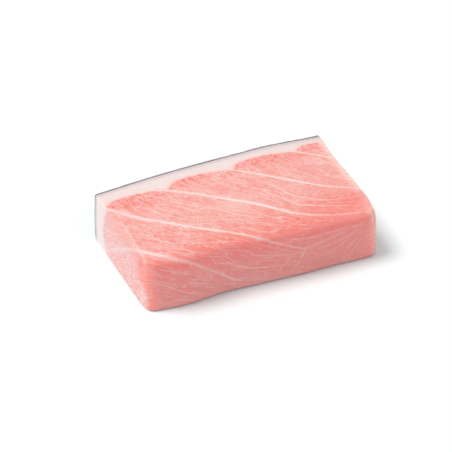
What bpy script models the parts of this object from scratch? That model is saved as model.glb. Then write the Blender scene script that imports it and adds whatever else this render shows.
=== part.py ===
"""A block of bluefin tuna belly, cut for slicing into sashimi, with its skin on.

Three layers run through the block from end to end: the marbled flesh, the white fat
under the skin, and the thin grey skin. Each is one closed solid. Lengths are in metres.
X runs along the block, Y from the cut front to the skin, and Z is up. The origin is at
the middle of the block's footprint, on the surface that it lies on.

Each layer starts as a box cut into a grid. The grid is drawn to the layer's own limits,
its outer edges are rounded, and it is then bent to the form of the real cut.
"""

import math

import bmesh
import bpy
from mathutils import Vector

MM = 0.001

# The block before it is bent
LENGTH = 151 * MM
WIDTH = 85 * MM
THICKNESS = 33 * MM

# Height of the top at the four corners, and how far it swells between them
HEIGHT_FRONT_LEFT = 33.5 * MM
HEIGHT_FRONT_RIGHT = 31.0 * MM
HEIGHT_BACK_LEFT = 32.4 * MM
HEIGHT_BACK_RIGHT = 37.3 * MM
TOP_ARCH = 1.6 * MM
TOP_CROWN = 1.3 * MM
BACK_SWELL = 0.9 * MM
BACK_SWELL_AT = 42 * MM
BACK_SWELL_HALF = 24 * MM

# Layers, measured across the block from the skin's outer face
SKIN = 1.3 * MM
GAP = 0.3 * MM
FAT_LEFT = 13.0 * MM
FAT_RIGHT = 6.6 * MM
SKIN_LIFT = 0.5 * MM

# Each muscle segment bulges into the fat as a lobe, with a notch between lobes
LOBE_PITCH = 43.8 * MM
FIRST_NOTCH = -33.5 * MM
NOTCH_SLANT = 1.6
NOTCH_LEFT = 7.0 * MM
NOTCH_RIGHT = 4.8 * MM
NOTCH_STEEP_SIDE = 0.07
NOTCH_SLOW_SIDE = 2.8

# Sides of the block
SKIN_BOW = 2.0 * MM
SKIN_BULGE = 1.2 * MM
FRONT_BULGE = 0.8 * MM
FRONT_LEAN = 1.6 * MM
LEFT_LEAN = 1.6 * MM
LEFT_LEAN_AT_SKIN = 0.35
LEFT_LIP = 0.9 * MM
LEFT_LIP_REACH = 17 * MM
# The upright edge at the front's left end is drawn in, so that it is rounder than the others,
# but its front flares out to a foot over the lowest share of the height
CORNER_DRAW = 1.7 * MM
CORNER_REACH = 15 * MM
CORNER_FLARE = 0.35
RIGHT_LEAN = 1.2 * MM
RIGHT_SWELL = 1.1 * MM
RIGHT_SWELL_AT = -18 * MM
RIGHT_SWELL_HALF = 22 * MM
# Places along the front where it swells out or draws in: centre, half width, how far out
FRONT_SWELLS = (
    (-50 * MM, 15 * MM, 1.9 * MM),
    (-20 * MM, 13 * MM, -0.7 * MM),
    (27 * MM, 14 * MM, 0.7 * MM),
    (62 * MM, 13 * MM, 0.5 * MM),
)

# Rounding of the outer edges: the knife's edges are crisp, the front's are soft
CRISP = 1.1 * MM
SOFT_LEFT = 5.0 * MM
SOFT_RIGHT = 6.0 * MM
SOFT_REACH = 16 * MM
UNDERSIDE = 1.5 * MM

# Grid lines of each layer
EDGE_STEPS = (0.0, 0.5 * MM, 1.2 * MM, 3.0 * MM, 6.0 * MM)
UNDER_STEPS = (0.0, 0.6 * MM, 1.5 * MM)
CELLS_ALONG = 56
CELLS_ALONG_SKIN = 24
CELLS_ACROSS_FLESH = 9
CELLS_ACROSS_FAT = 2
CELLS_UP = 5

FLESH_PINK = (0.93, 0.36, 0.29, 1.0)
FAT_CREAM = (0.90, 0.79, 0.76, 1.0)
SKIN_GREY = (0.27, 0.22, 0.25, 1.0)


def smooth_step(value):
    """0 below 0, 1 above 1, and an S-shaped rise between."""
    t = min(max(value, 0.0), 1.0)
    return t * t * (3 - 2 * t)


def mix(low, high, share):
    """The value that lies at a share of the way from low to high."""
    return low + (high - low) * share


def dome(share):
    """1 at the middle of a span and 0 at both its ends."""
    return 1 - (2 * share - 1) ** 2


def share_along(x):
    """0 at the left end of the block and 1 at its right end."""
    return 0.5 + x / LENGTH


def share_back(y):
    """0 at the block's front and 1 at its skin."""
    return min(max(0.5 + y / WIDTH, 0.0), 1.0)


def notch_depth(x, z):
    """How deep the fat reaches between two lobes of muscle, from 0 on a crest to 1 in a notch.

    The notch is steep on its right side and shallow on its left. It leans along the
    block with depth, because the sheets between the muscle segments do.
    """
    notch = FIRST_NOTCH + NOTCH_SLANT * (THICKNESS - z)
    phase = ((x - notch) / LOBE_PITCH) % 1.0
    return math.exp(-phase / NOTCH_STEEP_SIDE) + phase**NOTCH_SLOW_SIDE


def flesh_front(x, z):
    """Y of the block's cut front, before it is bent."""
    return -WIDTH / 2


def flesh_back(x, z):
    """Y where the flesh meets the fat."""
    along = share_along(x)
    fat = mix(FAT_LEFT, FAT_RIGHT, along)
    notch = mix(NOTCH_LEFT, NOTCH_RIGHT, along) * notch_depth(x, z)
    return WIDTH / 2 - fat - notch


def fat_front(x, z):
    """Y of the fat's face towards the flesh."""
    return flesh_back(x, z) + GAP


def fat_back(x, z):
    """Y of the fat's face towards the skin."""
    return WIDTH / 2 - SKIN - GAP


def skin_front(x, z):
    """Y of the skin's inner face."""
    return WIDTH / 2 - SKIN


def skin_back(x, z):
    """Y of the skin's outer face."""
    return WIDTH / 2


def edge_radii(x, y, z):
    """How far the rounding of an outer edge reaches along X, Y and Z at this place."""
    front = smooth_step((SOFT_REACH - (y + WIDTH / 2)) / SOFT_REACH)
    radius = mix(CRISP, mix(SOFT_LEFT, SOFT_RIGHT, share_along(x)), front)
    upper = smooth_step(2 * z / THICKNESS)
    return radius, radius, mix(UNDERSIDE, radius, upper)


def round_edges(x, y, z):
    """Draws in a point of the square block to the block with rounded edges."""
    radii = edge_radii(x, y, z)
    limits = ((-LENGTH / 2, LENGTH / 2), (-WIDTH / 2, WIDTH / 2), (0.0, THICKNESS))
    inner, offset = [], []
    for value, radius, (low, high) in zip((x, y, z), radii, limits):
        held = min(max(value, low + radius), high - radius)
        inner.append(held)
        offset.append((value - held) / radius)
    reach = math.sqrt(sum(part * part for part in offset))
    if reach == 0:
        return x, y, z
    shrink = max(abs(part) for part in offset) / reach
    return tuple(h + part * shrink * radius for h, part, radius in zip(inner, offset, radii))


def top_height(x, y):
    """Height of the block's top."""
    along, back = share_along(x), share_back(y)
    left = mix(HEIGHT_FRONT_LEFT, HEIGHT_BACK_LEFT, back)
    right = mix(HEIGHT_FRONT_RIGHT, HEIGHT_BACK_RIGHT, back)
    arch = TOP_ARCH * dome(along) * mix(0.35, 1.0, back)
    crown = TOP_CROWN * dome(back) * (1 - along)
    swell = BACK_SWELL * back**2 * math.exp(-(((x - BACK_SWELL_AT) / BACK_SWELL_HALF) ** 2))
    return mix(left, right, along) + arch + crown + swell


def bend(x, y, z):
    """Bends a point of the rounded block to the form of the real cut."""
    along, back = share_along(x), share_back(y)
    front = 1 - back
    up = z / THICKNESS
    swell = sum(out * math.exp(-(((x - at) / half) ** 2)) for at, half, out in FRONT_SWELLS)
    skin_side = SKIN_BOW * dome(along) + SKIN_BULGE * dome(up)
    front_side = swell + FRONT_BULGE * dome(up) - FRONT_LEAN * up
    lip = LEFT_LIP * (1 - up) ** 2 * smooth_step(1 - (y + WIDTH / 2) / LEFT_LIP_REACH)
    left_side = lip - LEFT_LEAN * up * mix(LEFT_LEAN_AT_SKIN, 1.0, front)
    right_swell = RIGHT_SWELL * math.exp(-(((y - RIGHT_SWELL_AT) / RIGHT_SWELL_HALF) ** 2))
    right_side = right_swell - RIGHT_LEAN * (up - 0.5)
    from_left = smooth_step(1 - (x + LENGTH / 2) / CORNER_REACH)
    from_front = smooth_step(1 - (y + WIDTH / 2) / CORNER_REACH)
    drawn = CORNER_DRAW * from_left * from_front
    return Vector(
        (
            x - left_side * (1 - along) ** 3 + right_side * along**3 + drawn,
            y + skin_side * back**2 - front_side * front**2 + drawn * smooth_step(up / CORNER_FLARE),
            up * top_height(x, y),
        )
    )


def grid_lines(low, high, low_steps, high_steps, cells):
    """Places of the grid lines from low to high, close at the two edges and even between."""
    start, end = low + low_steps[-1], high - high_steps[-1]
    even = [mix(start, end, i / cells) for i in range(1, cells)]
    return [low + s for s in low_steps[1:]] + even + [high - s for s in reversed(high_steps[1:])]


def cut_box(x_span, y_span, z_span, x_lines, y_lines, z_lines):
    """A box cut across at every grid line, as a bmesh."""
    bm = bmesh.new()
    bmesh.ops.create_cube(bm, size=1.0)
    for vertex in bm.verts:
        for axis, (low, high) in enumerate((x_span, y_span, z_span)):
            vertex.co[axis] = mix(low, high, vertex.co[axis] + 0.5)
    for axis, lines in enumerate((x_lines, y_lines, z_lines)):
        normal = Vector((0, 0, 0))
        normal[axis] = 1
        for place in lines:
            everything = bm.verts[:] + bm.edges[:] + bm.faces[:]
            bmesh.ops.bisect_plane(
                bm, geom=everything, dist=1e-7, plane_co=normal * place, plane_no=normal
            )
    return bm


def split_cells(bm):
    """Splits every cell in two, along the diagonal that the notches between lobes follow.

    Two layers that meet have the same triangles there, so the gap between them is even.
    """
    for face in bm.faces[:]:
        across = sorted(face.verts, key=lambda vertex: vertex.co.x + vertex.co.y - vertex.co.z)
        bmesh.utils.face_split(face, across[0], across[-1])


def layer(name, front, back, cells_along, share_lines, bottom, material, collection):
    """One layer of the block, between its front and back limits, as a closed solid."""
    x_lines = grid_lines(-LENGTH / 2, LENGTH / 2, EDGE_STEPS, EDGE_STEPS, cells_along)
    z_lines = grid_lines(bottom, THICKNESS, UNDER_STEPS, EDGE_STEPS, CELLS_UP)
    spans = ((-LENGTH / 2, LENGTH / 2), (0.0, 1.0), (bottom, THICKNESS))
    bm = cut_box(*spans, x_lines, share_lines, z_lines)
    split_cells(bm)
    for vertex in bm.verts:
        x, share, z = vertex.co
        y = mix(front(x, z), back(x, z), share)
        vertex.co = bend(*round_edges(x, y, z))
    mesh = bpy.data.meshes.new(name)
    bm.to_mesh(mesh)
    bm.free()
    mesh.shade_smooth()
    mesh.set_sharp_from_angle(angle=math.radians(40))
    mesh.materials.append(material)
    obj = bpy.data.objects.new(name, mesh)
    collection.objects.link(obj)
    return obj


def finish(name, colour, roughness):
    """A plain material for one layer."""
    material = bpy.data.materials.new(name)
    material.use_nodes = True
    shader = material.node_tree.nodes["Principled BSDF"]
    shader.inputs["Base Color"].default_value = colour
    shader.inputs["Roughness"].default_value = roughness
    shader.inputs["Metallic"].default_value = 0.0
    return material


def flesh_share_lines():
    """Grid lines across the flesh, as shares of its width: close at the front's soft edges."""
    width = flesh_back(0, 0) - flesh_front(0, 0)
    steps = tuple(step / width for step in EDGE_STEPS)
    return grid_lines(0.0, 1.0, steps, (0.0,), CELLS_ACROSS_FLESH)


def make_layers(collection):
    """The block's three layers, from the cut front to the skin."""
    flesh = finish("belly_flesh", FLESH_PINK, 0.4)
    fat = finish("belly_fat", FAT_CREAM, 0.45)
    skin = finish("belly_skin", SKIN_GREY, 0.35)
    fine, coarse = CELLS_ALONG, CELLS_ALONG_SKIN
    flesh_lines = flesh_share_lines()
    fat_lines = grid_lines(0.0, 1.0, (0.0,), (0.0,), CELLS_ACROSS_FAT)
    return [
        layer("flesh", flesh_front, flesh_back, fine, flesh_lines, 0.0, flesh, collection),
        layer("fat_layer", fat_front, fat_back, fine, fat_lines, 0.0, fat, collection),
        layer("skin", skin_front, skin_back, coarse, [], SKIN_LIFT, skin, collection),
    ]


def stand_at_origin(objects, collection):
    """Parents the layers to an empty that puts the middle of their footprint at the origin."""
    corners = [vertex.co for obj in objects for vertex in obj.data.vertices]
    middle = [(min(c[axis] for c in corners) + max(c[axis] for c in corners)) / 2 for axis in (0, 1)]
    frame = bpy.data.objects.new("block_frame", None)
    frame.location = (-middle[0], -middle[1], 0.0)
    collection.objects.link(frame)
    for obj in objects:
        obj.parent = frame


def main():
    """Clears the scene and builds the block."""
    for obj in list(bpy.data.objects):
        bpy.data.objects.remove(obj)
    collection = bpy.data.collections.new("tuna_belly_block")
    bpy.context.scene.collection.children.link(collection)
    stand_at_origin(make_layers(collection), collection)


main()
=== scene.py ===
"""The looks of a block of raw tuna belly, cut for slicing into sashimi.

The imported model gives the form. Its three layers are closed up into one blank, the blank
gets the fine relief of cut fish, and a knife surface then parts it again into flesh, fat
and skin, so that the layers meet flush. The marbling follows one field that counts the
muscle segments, so it runs on round every edge of the block.

Lengths in this file are millimetres, except where a line hands them to Blender, which
takes metres. X runs along the block, Y from the cut front to the skin, and Z is up.
"""

import logging
import math
from dataclasses import dataclass
from enum import Enum

import bmesh
import bpy
import numpy as np
from bpy.types import GeometryNodeTree, Material, Mesh, Node, NodeSocket, NodeTree, Object
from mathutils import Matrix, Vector
from mathutils.bvhtree import BVHTree


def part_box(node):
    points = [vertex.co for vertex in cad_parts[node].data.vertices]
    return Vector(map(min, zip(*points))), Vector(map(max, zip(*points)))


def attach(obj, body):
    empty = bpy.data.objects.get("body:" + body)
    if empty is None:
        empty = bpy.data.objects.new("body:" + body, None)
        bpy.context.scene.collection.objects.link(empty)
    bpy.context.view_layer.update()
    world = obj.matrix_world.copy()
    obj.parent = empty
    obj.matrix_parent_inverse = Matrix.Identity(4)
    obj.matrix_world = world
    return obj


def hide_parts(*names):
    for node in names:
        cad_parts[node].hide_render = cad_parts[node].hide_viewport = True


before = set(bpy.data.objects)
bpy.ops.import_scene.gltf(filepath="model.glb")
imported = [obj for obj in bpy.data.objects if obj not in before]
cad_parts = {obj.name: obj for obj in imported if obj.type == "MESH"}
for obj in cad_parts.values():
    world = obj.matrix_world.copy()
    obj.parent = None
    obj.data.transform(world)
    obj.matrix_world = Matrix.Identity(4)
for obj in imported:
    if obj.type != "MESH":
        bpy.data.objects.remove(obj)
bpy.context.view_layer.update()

MM = 0.001
LOG = logging.getLogger("tuna_belly")

# Points that are worked on at once, which keeps the arrays small
AT_ONCE = 8000

# Steps of a curve from one given point to the next
RUN_STEPS = 24

# A distance that stands for none where something is divided by it
TINY = 1e-9

# How far off a vein counts as where there is none, in half widths
FAR = 9.0

# What a mesh keeps for Blender itself
PLAIN_VALUES = ("position", "sharp_face", "material_index")

# What a mesh keeps of the sheets: their count, spacing, width and strength
SHEET_VALUES = ("segment_count", "sheet_pitch", "sheet_width", "sheet_strength")

# Veins that lie close to one another go into different sets, three to each pair of attributes
VEIN_GROUPS = ("a", "b", "c")
SETS_IN_GROUP = 3

# One number or one row of numbers for each of a mesh's points or other places
Rows = np.ndarray
Point = tuple[float, float]
Span3 = tuple[float, float, float]
Colour = tuple[float, float, float, float]


class Face(Enum):
    """A face of the block that marbling is drawn on, with its outward direction."""

    TOP = (0, 0, 1)
    FRONT = (0, -1, 0)
    LEFT = (-1, 0, 0)


def linear(hex_colour: str) -> Colour:
    """Turns an sRGB hex colour to the linear values that shaders take.

    Args:
        hex_colour: Six hex digits, such as "E8C0BA".

    Returns:
        Red, green, blue and an alpha of 1.
    """
    parts = [int(hex_colour[i:i + 2], 16) / 255 for i in (0, 2, 4)]
    turned = [c / 12.92 if c <= 0.04045 else ((c + 0.055) / 1.055) ** 2.4 for c in parts]
    return (*turned, 1.0)


def add_node(tree: NodeTree, kind: str, links: dict | None = None, **settings: object) -> Node:
    """Adds one node to a tree, with its settings and what goes into it.

    Args:
        tree: The shader or geometry tree that takes the node.
        kind: The node's type, such as "ShaderNodeMath".
        links: For each input, by name or index, a socket, a node or a plain value. A node
            gives its first output that is in use.
        settings: Properties of the node, such as its operation.

    Returns:
        The new node.
    """
    node = tree.nodes.new(kind)
    for name, value in settings.items():
        setattr(node, name, value)
    for key, value in (links or {}).items():
        if isinstance(key, str):
            socket = next(s for s in node.inputs if s.enabled and s.name == key)
        else:
            socket = node.inputs[key]
        if isinstance(value, Node):
            value = next(s for s in value.outputs if s.enabled)
        if isinstance(value, NodeSocket):
            tree.links.new(value, socket)
        else:
            socket.default_value = value
    return node


def start_material(name: str) -> tuple[Material, Node]:
    """Makes an empty material.

    Args:
        name: What the real material is.

    Returns:
        The material, and the node that gives each place in millimetres.
    """
    material = bpy.data.materials.new(name)
    material.use_nodes = True
    tree = material.node_tree
    tree.nodes.clear()
    place = add_node(tree, "ShaderNodeTexCoord").outputs["Object"]
    return material, add_node(tree, "ShaderNodeVectorMath", {0: place, "Scale": 1 / MM}, operation="SCALE")


def start_geometry_tree(name: str, values: dict[str, float]) -> GeometryNodeTree:
    """Makes an empty geometry tree with a named input for each value.

    Args:
        name: What the tree makes.
        values: The values that it will get, by the names of their inputs.

    Returns:
        The tree, which takes and gives geometry.
    """
    tree = bpy.data.node_groups.new(name, "GeometryNodeTree")
    tree.interface.new_socket("Geometry", in_out="INPUT", socket_type="NodeSocketGeometry")
    tree.interface.new_socket("Geometry", in_out="OUTPUT", socket_type="NodeSocketGeometry")
    for given, value in values.items():
        kind = "NodeSocketInt" if isinstance(value, int) else "NodeSocketFloat"
        tree.interface.new_socket(given, in_out="INPUT", socket_type=kind)
    return tree


def rows_of(values: bpy.types.bpy_prop_collection, part: str) -> Rows:
    """Reads vectors off a mesh.

    Args:
        values: The mesh's points, or its points' normals.
        part: The vector's name there.

    Returns:
        One row of three numbers for each point.
    """
    flat = np.empty(len(values) * 3, np.float32)
    values.foreach_get(part, flat)
    return flat.reshape(-1, 3).astype(float)


def points_of(mesh: Mesh) -> Rows:
    """The mesh's points as rows of X, Y and Z in millimetres."""
    return rows_of(mesh.vertices, "co") / MM


def normals_of(mesh: Mesh) -> Rows:
    """The outward direction at each of the mesh's points."""
    return rows_of(mesh.vertex_normals, "vector")


def store(mesh: Mesh, name: str, values: Rows) -> None:
    """Keeps one number or one vector for each point of a mesh.

    Args:
        mesh: The mesh that takes the values.
        name: The attribute's name, which materials read.
        values: One row for each point.
    """
    several = values.ndim == 2
    kind, part = ("FLOAT_VECTOR", "vector") if several else ("FLOAT", "value")
    attribute = mesh.attributes.new(name, kind, "POINT")
    attribute.data.foreach_set(part, values.astype(np.float32).ravel())


def s_curve(values: Rows, low: float, high: float) -> Rows:
    """Goes from 0 at low to 1 at high along an S, also where low is the larger."""
    share = np.clip((values - low) / (high - low), 0, 1)
    return share * share * (3 - 2 * share)


def blurred(mesh: Mesh, values: Rows, rounds: int) -> Rows:
    """Evens out values over a mesh by taking the mean with the neighbours.

    Args:
        mesh: The mesh whose edges say which points are neighbours.
        values: One number for each point.
        rounds: How many times the mean is taken.

    Returns:
        The evened values.
    """
    ends = np.empty(len(mesh.edges) * 2, np.int64)
    mesh.edges.foreach_get("vertices", ends)
    one, other = ends.reshape(-1, 2).T
    count = len(values)
    shared = 1 + np.bincount(one, minlength=count) + np.bincount(other, minlength=count)
    for _ in range(rounds):
        near = np.bincount(one, values[other], count) + np.bincount(other, values[one], count)
        values = (values + near) / shared
    return values


def through(points: tuple[Point, ...], step: float) -> Rows:
    """Evenly spaced points on one smooth curve through given points.

    Args:
        points: The given points, at least two.
        step: The distance from one to the next.

    Returns:
        Rows of points, ends included.
    """
    set_points = np.array(points, float)
    held = np.vstack([2 * set_points[0] - set_points[1], set_points, 2 * set_points[-1] - set_points[-2]])
    t = np.linspace(0, 1, RUN_STEPS, endpoint=False)[:, None]
    runs = []
    for a, b, c, d in zip(held, held[1:], held[2:], held[3:]):
        bent = (2 * a - 5 * b + 4 * c - d) * t**2 + (3 * b - a - 3 * c + d) * t**3
        runs.append(b + 0.5 * ((c - a) * t + bent))
    dense = np.vstack([*runs, set_points[-1:]])
    along = np.concatenate([[0], np.cumsum(np.linalg.norm(np.diff(dense, axis=0), axis=1))])
    places = np.linspace(0, along[-1], max(2, round(along[-1] / step) + 1))
    return np.column_stack([np.interp(places, along, dense[:, i]) for i in range(dense.shape[1])])


def spread(values: Span3, count: int) -> Rows:
    """Spreads the values at a line's start, middle and end over a number of places along it."""
    return np.interp(np.linspace(0, 2, count), (0, 1, 2), values)


def evaluated(obj: Object) -> Mesh:
    """The object's mesh with its modifiers applied, as a plain new mesh."""
    graph = bpy.context.evaluated_depsgraph_get()
    return bpy.data.meshes.new_from_object(obj.evaluated_get(graph), depsgraph=graph)


def scratch_object(name: str, mesh: Mesh) -> Object:
    """Puts a mesh in the scene.

    Args:
        name: The object's name.
        mesh: Its mesh.

    Returns:
        The object.
    """
    obj = bpy.data.objects.new(name, mesh)
    bpy.context.scene.collection.objects.link(obj)
    return obj


def settle(obj: Object) -> None:
    """Turns an object's modifiers into its plain mesh.

    Args:
        obj: The object, which keeps its name.
    """
    mesh = evaluated(obj)
    obj.modifiers.clear()
    old = obj.data
    obj.data = mesh
    bpy.data.meshes.remove(old)


def run_tree(obj: Object, tree: GeometryNodeTree, values: dict[str, float]) -> None:
    """Lets a geometry tree shape an object, and keeps the result as its plain mesh.

    Args:
        obj: The object.
        tree: The tree.
        values: The value for each of the tree's inputs, by name.
    """
    modifier = obj.modifiers.new(tree.name, "NODES")
    modifier.node_group = tree
    for item in tree.interface.items_tree:
        if item.in_out == "INPUT" and item.name in values:
            modifier[item.identifier] = values[item.name]
    settle(obj)


@dataclass(frozen=True)
class Streak:
    """One white line of marbling as it shows on a face of the block.

    The points are X and Y on the top, X and Z on the front, and Y and Z on the left end.
    Widths and strengths are those at its start, middle and end. A sheet between two muscle
    segments has a number, which goes up by one from each sheet to the next.
    """

    face: Face
    points: tuple[Point, ...]
    widths: Span3
    strengths: Span3
    number: float | None = None


def on_face(face: Face, *lines: tuple) -> tuple[Streak, ...]:
    """Lines of marbling on one face, from what each streak has after its face."""
    return tuple(Streak(face, *line) for line in lines)


# The sheets of connective tissue between the muscle segments, from the left to the right
SHEETS = (
    Streak(Face.TOP, ((-74, -26.5), (-66.5, -34.5), (-59.5, -39), (-54.5, -42)),
           (2.8, 3.2, 2.4), (0.9, 1.0, 0.6), -1),
    Streak(Face.FRONT, ((-59, 33), (-49, 29.5), (-38.5, 22.3), (-27.5, 14.2), (-19.5, 8.3)),
           (2.2, 1.5, 1.3), (0.5, 0.4, 0.42), -1),
    Streak(Face.FRONT, ((-12, 6), (0, 4), (12, 3)), (1.0, 0.8, 0.8), (0.25, 0.1, 0.05), -1),
    Streak(Face.TOP, ((-73, 19.5), (-60.5, 3), (-50, -5.5), (-39.5, -14.5), (-28.5, -22.5),
                      (-18, -29.5), (-10.5, -35), (-4.5, -38.8)),
           (3.4, 2.3, 1.8), (0.75, 1.0, 0.8), 0),
    Streak(Face.FRONT, ((2.5, 29.5), (9.5, 26), (16.5, 22.7), (26, 18.9)),
           (1.4, 1.2, 1.2), (0.52, 0.42, 0.48), 0),
    Streak(Face.FRONT, ((26, 18.9), (35.5, 20.3), (46, 22), (55.5, 24.6), (67.5, 26.8)),
           (1.0, 0.9, 0.7), (0.42, 0.28, 0.18), 0),
    Streak(Face.TOP, ((-36.5, 25), (-29.5, 20), (-19, 12.5), (-8.5, 3.7), (8, -9), (16.5, -17),
                      (24, -24), (31, -29), (41, -33.5), (54, -37), (68, -39)),
           (1.9, 2.7, 1.1), (0.9, 1.0, 0.2), 1),
    Streak(Face.TOP, ((9, 28.5), (22.5, 17.7), (33.5, 8.5), (44, 0.5), (55.5, -7.7), (66.5, -13), (75, -17)),
           (1.6, 1.9, 1.2), (0.9, 0.95, 0.6), 2),
    Streak(Face.TOP, ((52, 31), (59, 27), (64.5, 23), (71, 18.5)),
           (1.5, 1.6, 1.4), (0.85, 0.8, 0.6), 3),
)

# The left end's top edge, where the knife has pulled up a little fat
LEFT_EDGE = ((-72.5, 19), (-71.5, 14), (-72.8, 4.5), (-73, -6), (-73.3, -13), (-74, -22.5),
             (-74, -29.5), (-73.5, -35))

# Thinner veins. A number says where one lies between the sheets, and turns the grain to it.
VEINS = (
    *on_face(
        Face.TOP,
        (LEFT_EDGE, (1.3, 1.0, 0.9), (0.45, 0.55, 0.85)),
        (((-75, -19.5), (-74, -21.5), (-73.5, -24)), (1.6, 2.0, 1.4), (0.5, 0.95, 0.7)),
        (((24.5, 5), (28.5, -2), (31, -7.5), (35.5, -12), (41, -16.5), (47, -20), (58, -23), (70, -24)),
         (1.0, 1.2, 0.9), (0.9, 1.0, 0.2)),
        (((18, 0), (22, -4.5), (28, -13.5), (33, -20), (42.5, -24.5), (61.5, -31), (68, -33)),
         (0.9, 1.1, 0.8), (0.8, 1.0, 0.2)),
        (((50.5, -23), (55, -25.5), (63, -27.5)), (0.7, 0.8, 0.6), (0.6, 0.8, 0.3)),
        (((10.5, 2.5), (13.5, 0), (16, -4.5), (16, -8.5)), (0.7, 0.8, 0.6), (0.4, 0.6, 0.3)),
        (((-10, 27.5), (-2.5, 17), (2, 8)), (0.7, 0.8, 0.6), (0.6, 0.6, 0.35)),
        (((-19, 28), (-17, 21.5), (-12, 13)), (0.7, 0.6, 0.5), (0.5, 0.5, 0.3)),
        (((-37.5, 11), (-31, 0), (-27, -4)), (0.8, 0.9, 0.7), (0.6, 0.8, 0.5)),
        (((-58.5, 15), (-54, 12), (-48.5, 2), (-45, -2)), (0.8, 0.9, 0.7), (0.6, 0.8, 0.5)),
        (((-36.5, 18), (-33.5, 8), (-25, -0.5), (-20.5, -7.5)), (0.6, 0.8, 0.7), (0.4, 0.6, 0.5)),
        (((-67.5, -9.5), (-61, -19.5), (-53, -30)), (0.8, 0.9, 0.8), (0.5, 0.8, 0.6)),
        (((-66, -21.5), (-59, -30), (-53, -34), (-48, -37.5)), (0.8, 0.9, 0.8), (0.6, 0.8, 0.6)),
        (((-53.5, -12), (-47.5, -19), (-41, -22), (-35.5, -26.5)), (0.8, 0.9, 0.7), (0.5, 0.7, 0.5)),
        (((-45, -27), (-41, -32.5), (-35, -34.5), (-24, -37.5), (-16.5, -39.7)),
         (0.8, 0.9, 0.7), (0.5, 0.7, 0.5)),
        (((-14.5, -5.5), (-8, -14.5), (2, -21)), (0.8, 0.8, 0.7), (0.5, 0.6, 0.5)),
        (((-9, -20.5), (3, -28), (10, -32), (18, -37)), (0.7, 0.8, 0.7), (0.5, 0.6, 0.4)),
    ),
    *on_face(
        Face.FRONT,
        (((25, 17), (21.5, 10.5), (16, 4)), (0.9, 0.8, 0.6), (0.55, 0.5, 0.3)),
        (((15.5, 14.5), (12.5, 11), (8.5, 8)), (0.8, 0.8, 0.6), (0.3, 0.45, 0.3)),
        (((-19.5, 5.5), (-21, 1.5)), (0.8, 0.8, 0.6), (0.45, 0.4, 0.2)),
        (((-19.5, 8.2), (-13, 8.3), (-3, 8)), (0.8, 0.8, 0.6), (0.5, 0.4, 0.2)),
        (((-23.5, 21.5), (-20.5, 18.8), (-15.5, 16.3), (-9, 14), (4, 12), (11.5, 11.5)),
         (0.9, 0.8, 0.6), (0.6, 0.55, 0.4), -0.55),
        (((-26, 30.5), (-13, 27), (-7.5, 23), (-3, 21.3), (5, 19.6), (18, 17)),
         (0.7, 0.9, 0.7), (0.35, 0.5, 0.45)),
        (((-35.5, 29.7), (-28, 27.3)), (0.7, 0.8, 0.6), (0.3, 0.5, 0.3)),
        (((-32, 23.6), (-23.5, 21.3)), (0.7, 0.8, 0.6), (0.3, 0.5, 0.4)),
        (((-67.5, 29), (-60, 26.3), (-50, 22.6)), (0.9, 1.0, 0.8), (0.4, 0.5, 0.45), -1.35),
        (((-71, 24.8), (-63, 23)), (0.8, 0.9, 0.7), (0.2, 0.4, 0.2)),
        (((-67.5, 20.3), (-60, 18)), (0.8, 0.9, 0.7), (0.3, 0.45, 0.3)),
        (((-71, 20.5), (-60, 14.5), (-52.5, 10), (-45, 7), (-34, 2.5)),
         (0.8, 1.0, 0.8), (0.3, 0.5, 0.35), -1.7),
        (((-48.5, 18.3), (-36.5, 13.6)), (0.8, 0.9, 0.8), (0.3, 0.5, 0.4)),
        (((-49.5, 15.8), (-39.5, 12)), (0.8, 0.9, 0.8), (0.4, 0.5, 0.3)),
        (((-38.5, 9), (-30, 6)), (0.8, 0.9, 0.8), (0.3, 0.5, 0.3)),
        (((-26.5, 7.6), (-21.5, 6)), (0.8, 0.9, 0.7), (0.3, 0.5, 0.3)),
        (((-62, 5.2), (-54.5, 4.8), (-47, 2.5)), (0.8, 0.9, 0.7), (0.3, 0.45, 0.3)),
        (((13.5, 28.3), (23.5, 26.4), (36.5, 25.8), (49, 26.2), (61.5, 26.6)),
         (0.7, 0.9, 0.7), (0.35, 0.5, 0.3)),
        (((36.5, 16.5), (45, 17.5), (56, 21), (64, 24.3)), (0.7, 0.8, 0.6), (0.3, 0.5, 0.35)),
        (((35, 6.5), (46, 13.5), (56.5, 18.7), (73.5, 22.5)), (0.7, 0.7, 0.6), (0.15, 0.25, 0.15), -0.5),
        (((50, 3), (51.5, 7.5), (54, 12), (61.5, 18), (72, 21)),
         (0.8, 0.8, 0.7), (0.3, 0.42, 0.3), -0.8),
    ),
    # A sheet shows faintly on the left end, which cuts it at a slant
    *on_face(
        Face.LEFT,
        (((25, 2), (14, 9), (2, 17), (-9, 24), (-18, 29.5)), (2.4, 2.8, 2.4), (0.55, 0.75, 0.65)),
    ),
)


@dataclass(frozen=True)
class Patch:
    """A soft patch of the flesh's top that differs from the rest, such as in how red it is."""

    x: float
    y: float
    reach_x: float
    reach_y: float
    amount: float

    def share(self, points: Rows) -> Rows:
        """How much of the patch each point gets."""
        off_x = (points[:, 0] - self.x) / self.reach_x
        off_y = (points[:, 1] - self.y) / self.reach_y
        return self.amount * np.exp(-off_x * off_x - off_y * off_y)


# Where the top is redder than the rest, and where it is paler
PATCHES = (
    Patch(-58, 22, 14, 9, 0.5),
    Patch(-22, 30, 14, 5, 0.3),
    Patch(33, 31, 22, 8, 0.28),
    Patch(68, 37, 8, 6, 0.15),
    Patch(56, -25, 24, 7, 0.5),
    Patch(34, -33, 24, 5, 0.25),
    Patch(8, -29, 20, 7, 0.18),
    Patch(-28, -28, 18, 8, 0.25),
    Patch(-54, -18, 13, 8, 0.25),
    Patch(-2, -4, 14, 9, -0.32),
    Patch(38, 0, 9, 8, -0.2),
    Patch(-50, 6, 12, 6, -0.1),
    Patch(60, 8, 12, 8, -0.1),
)

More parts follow.
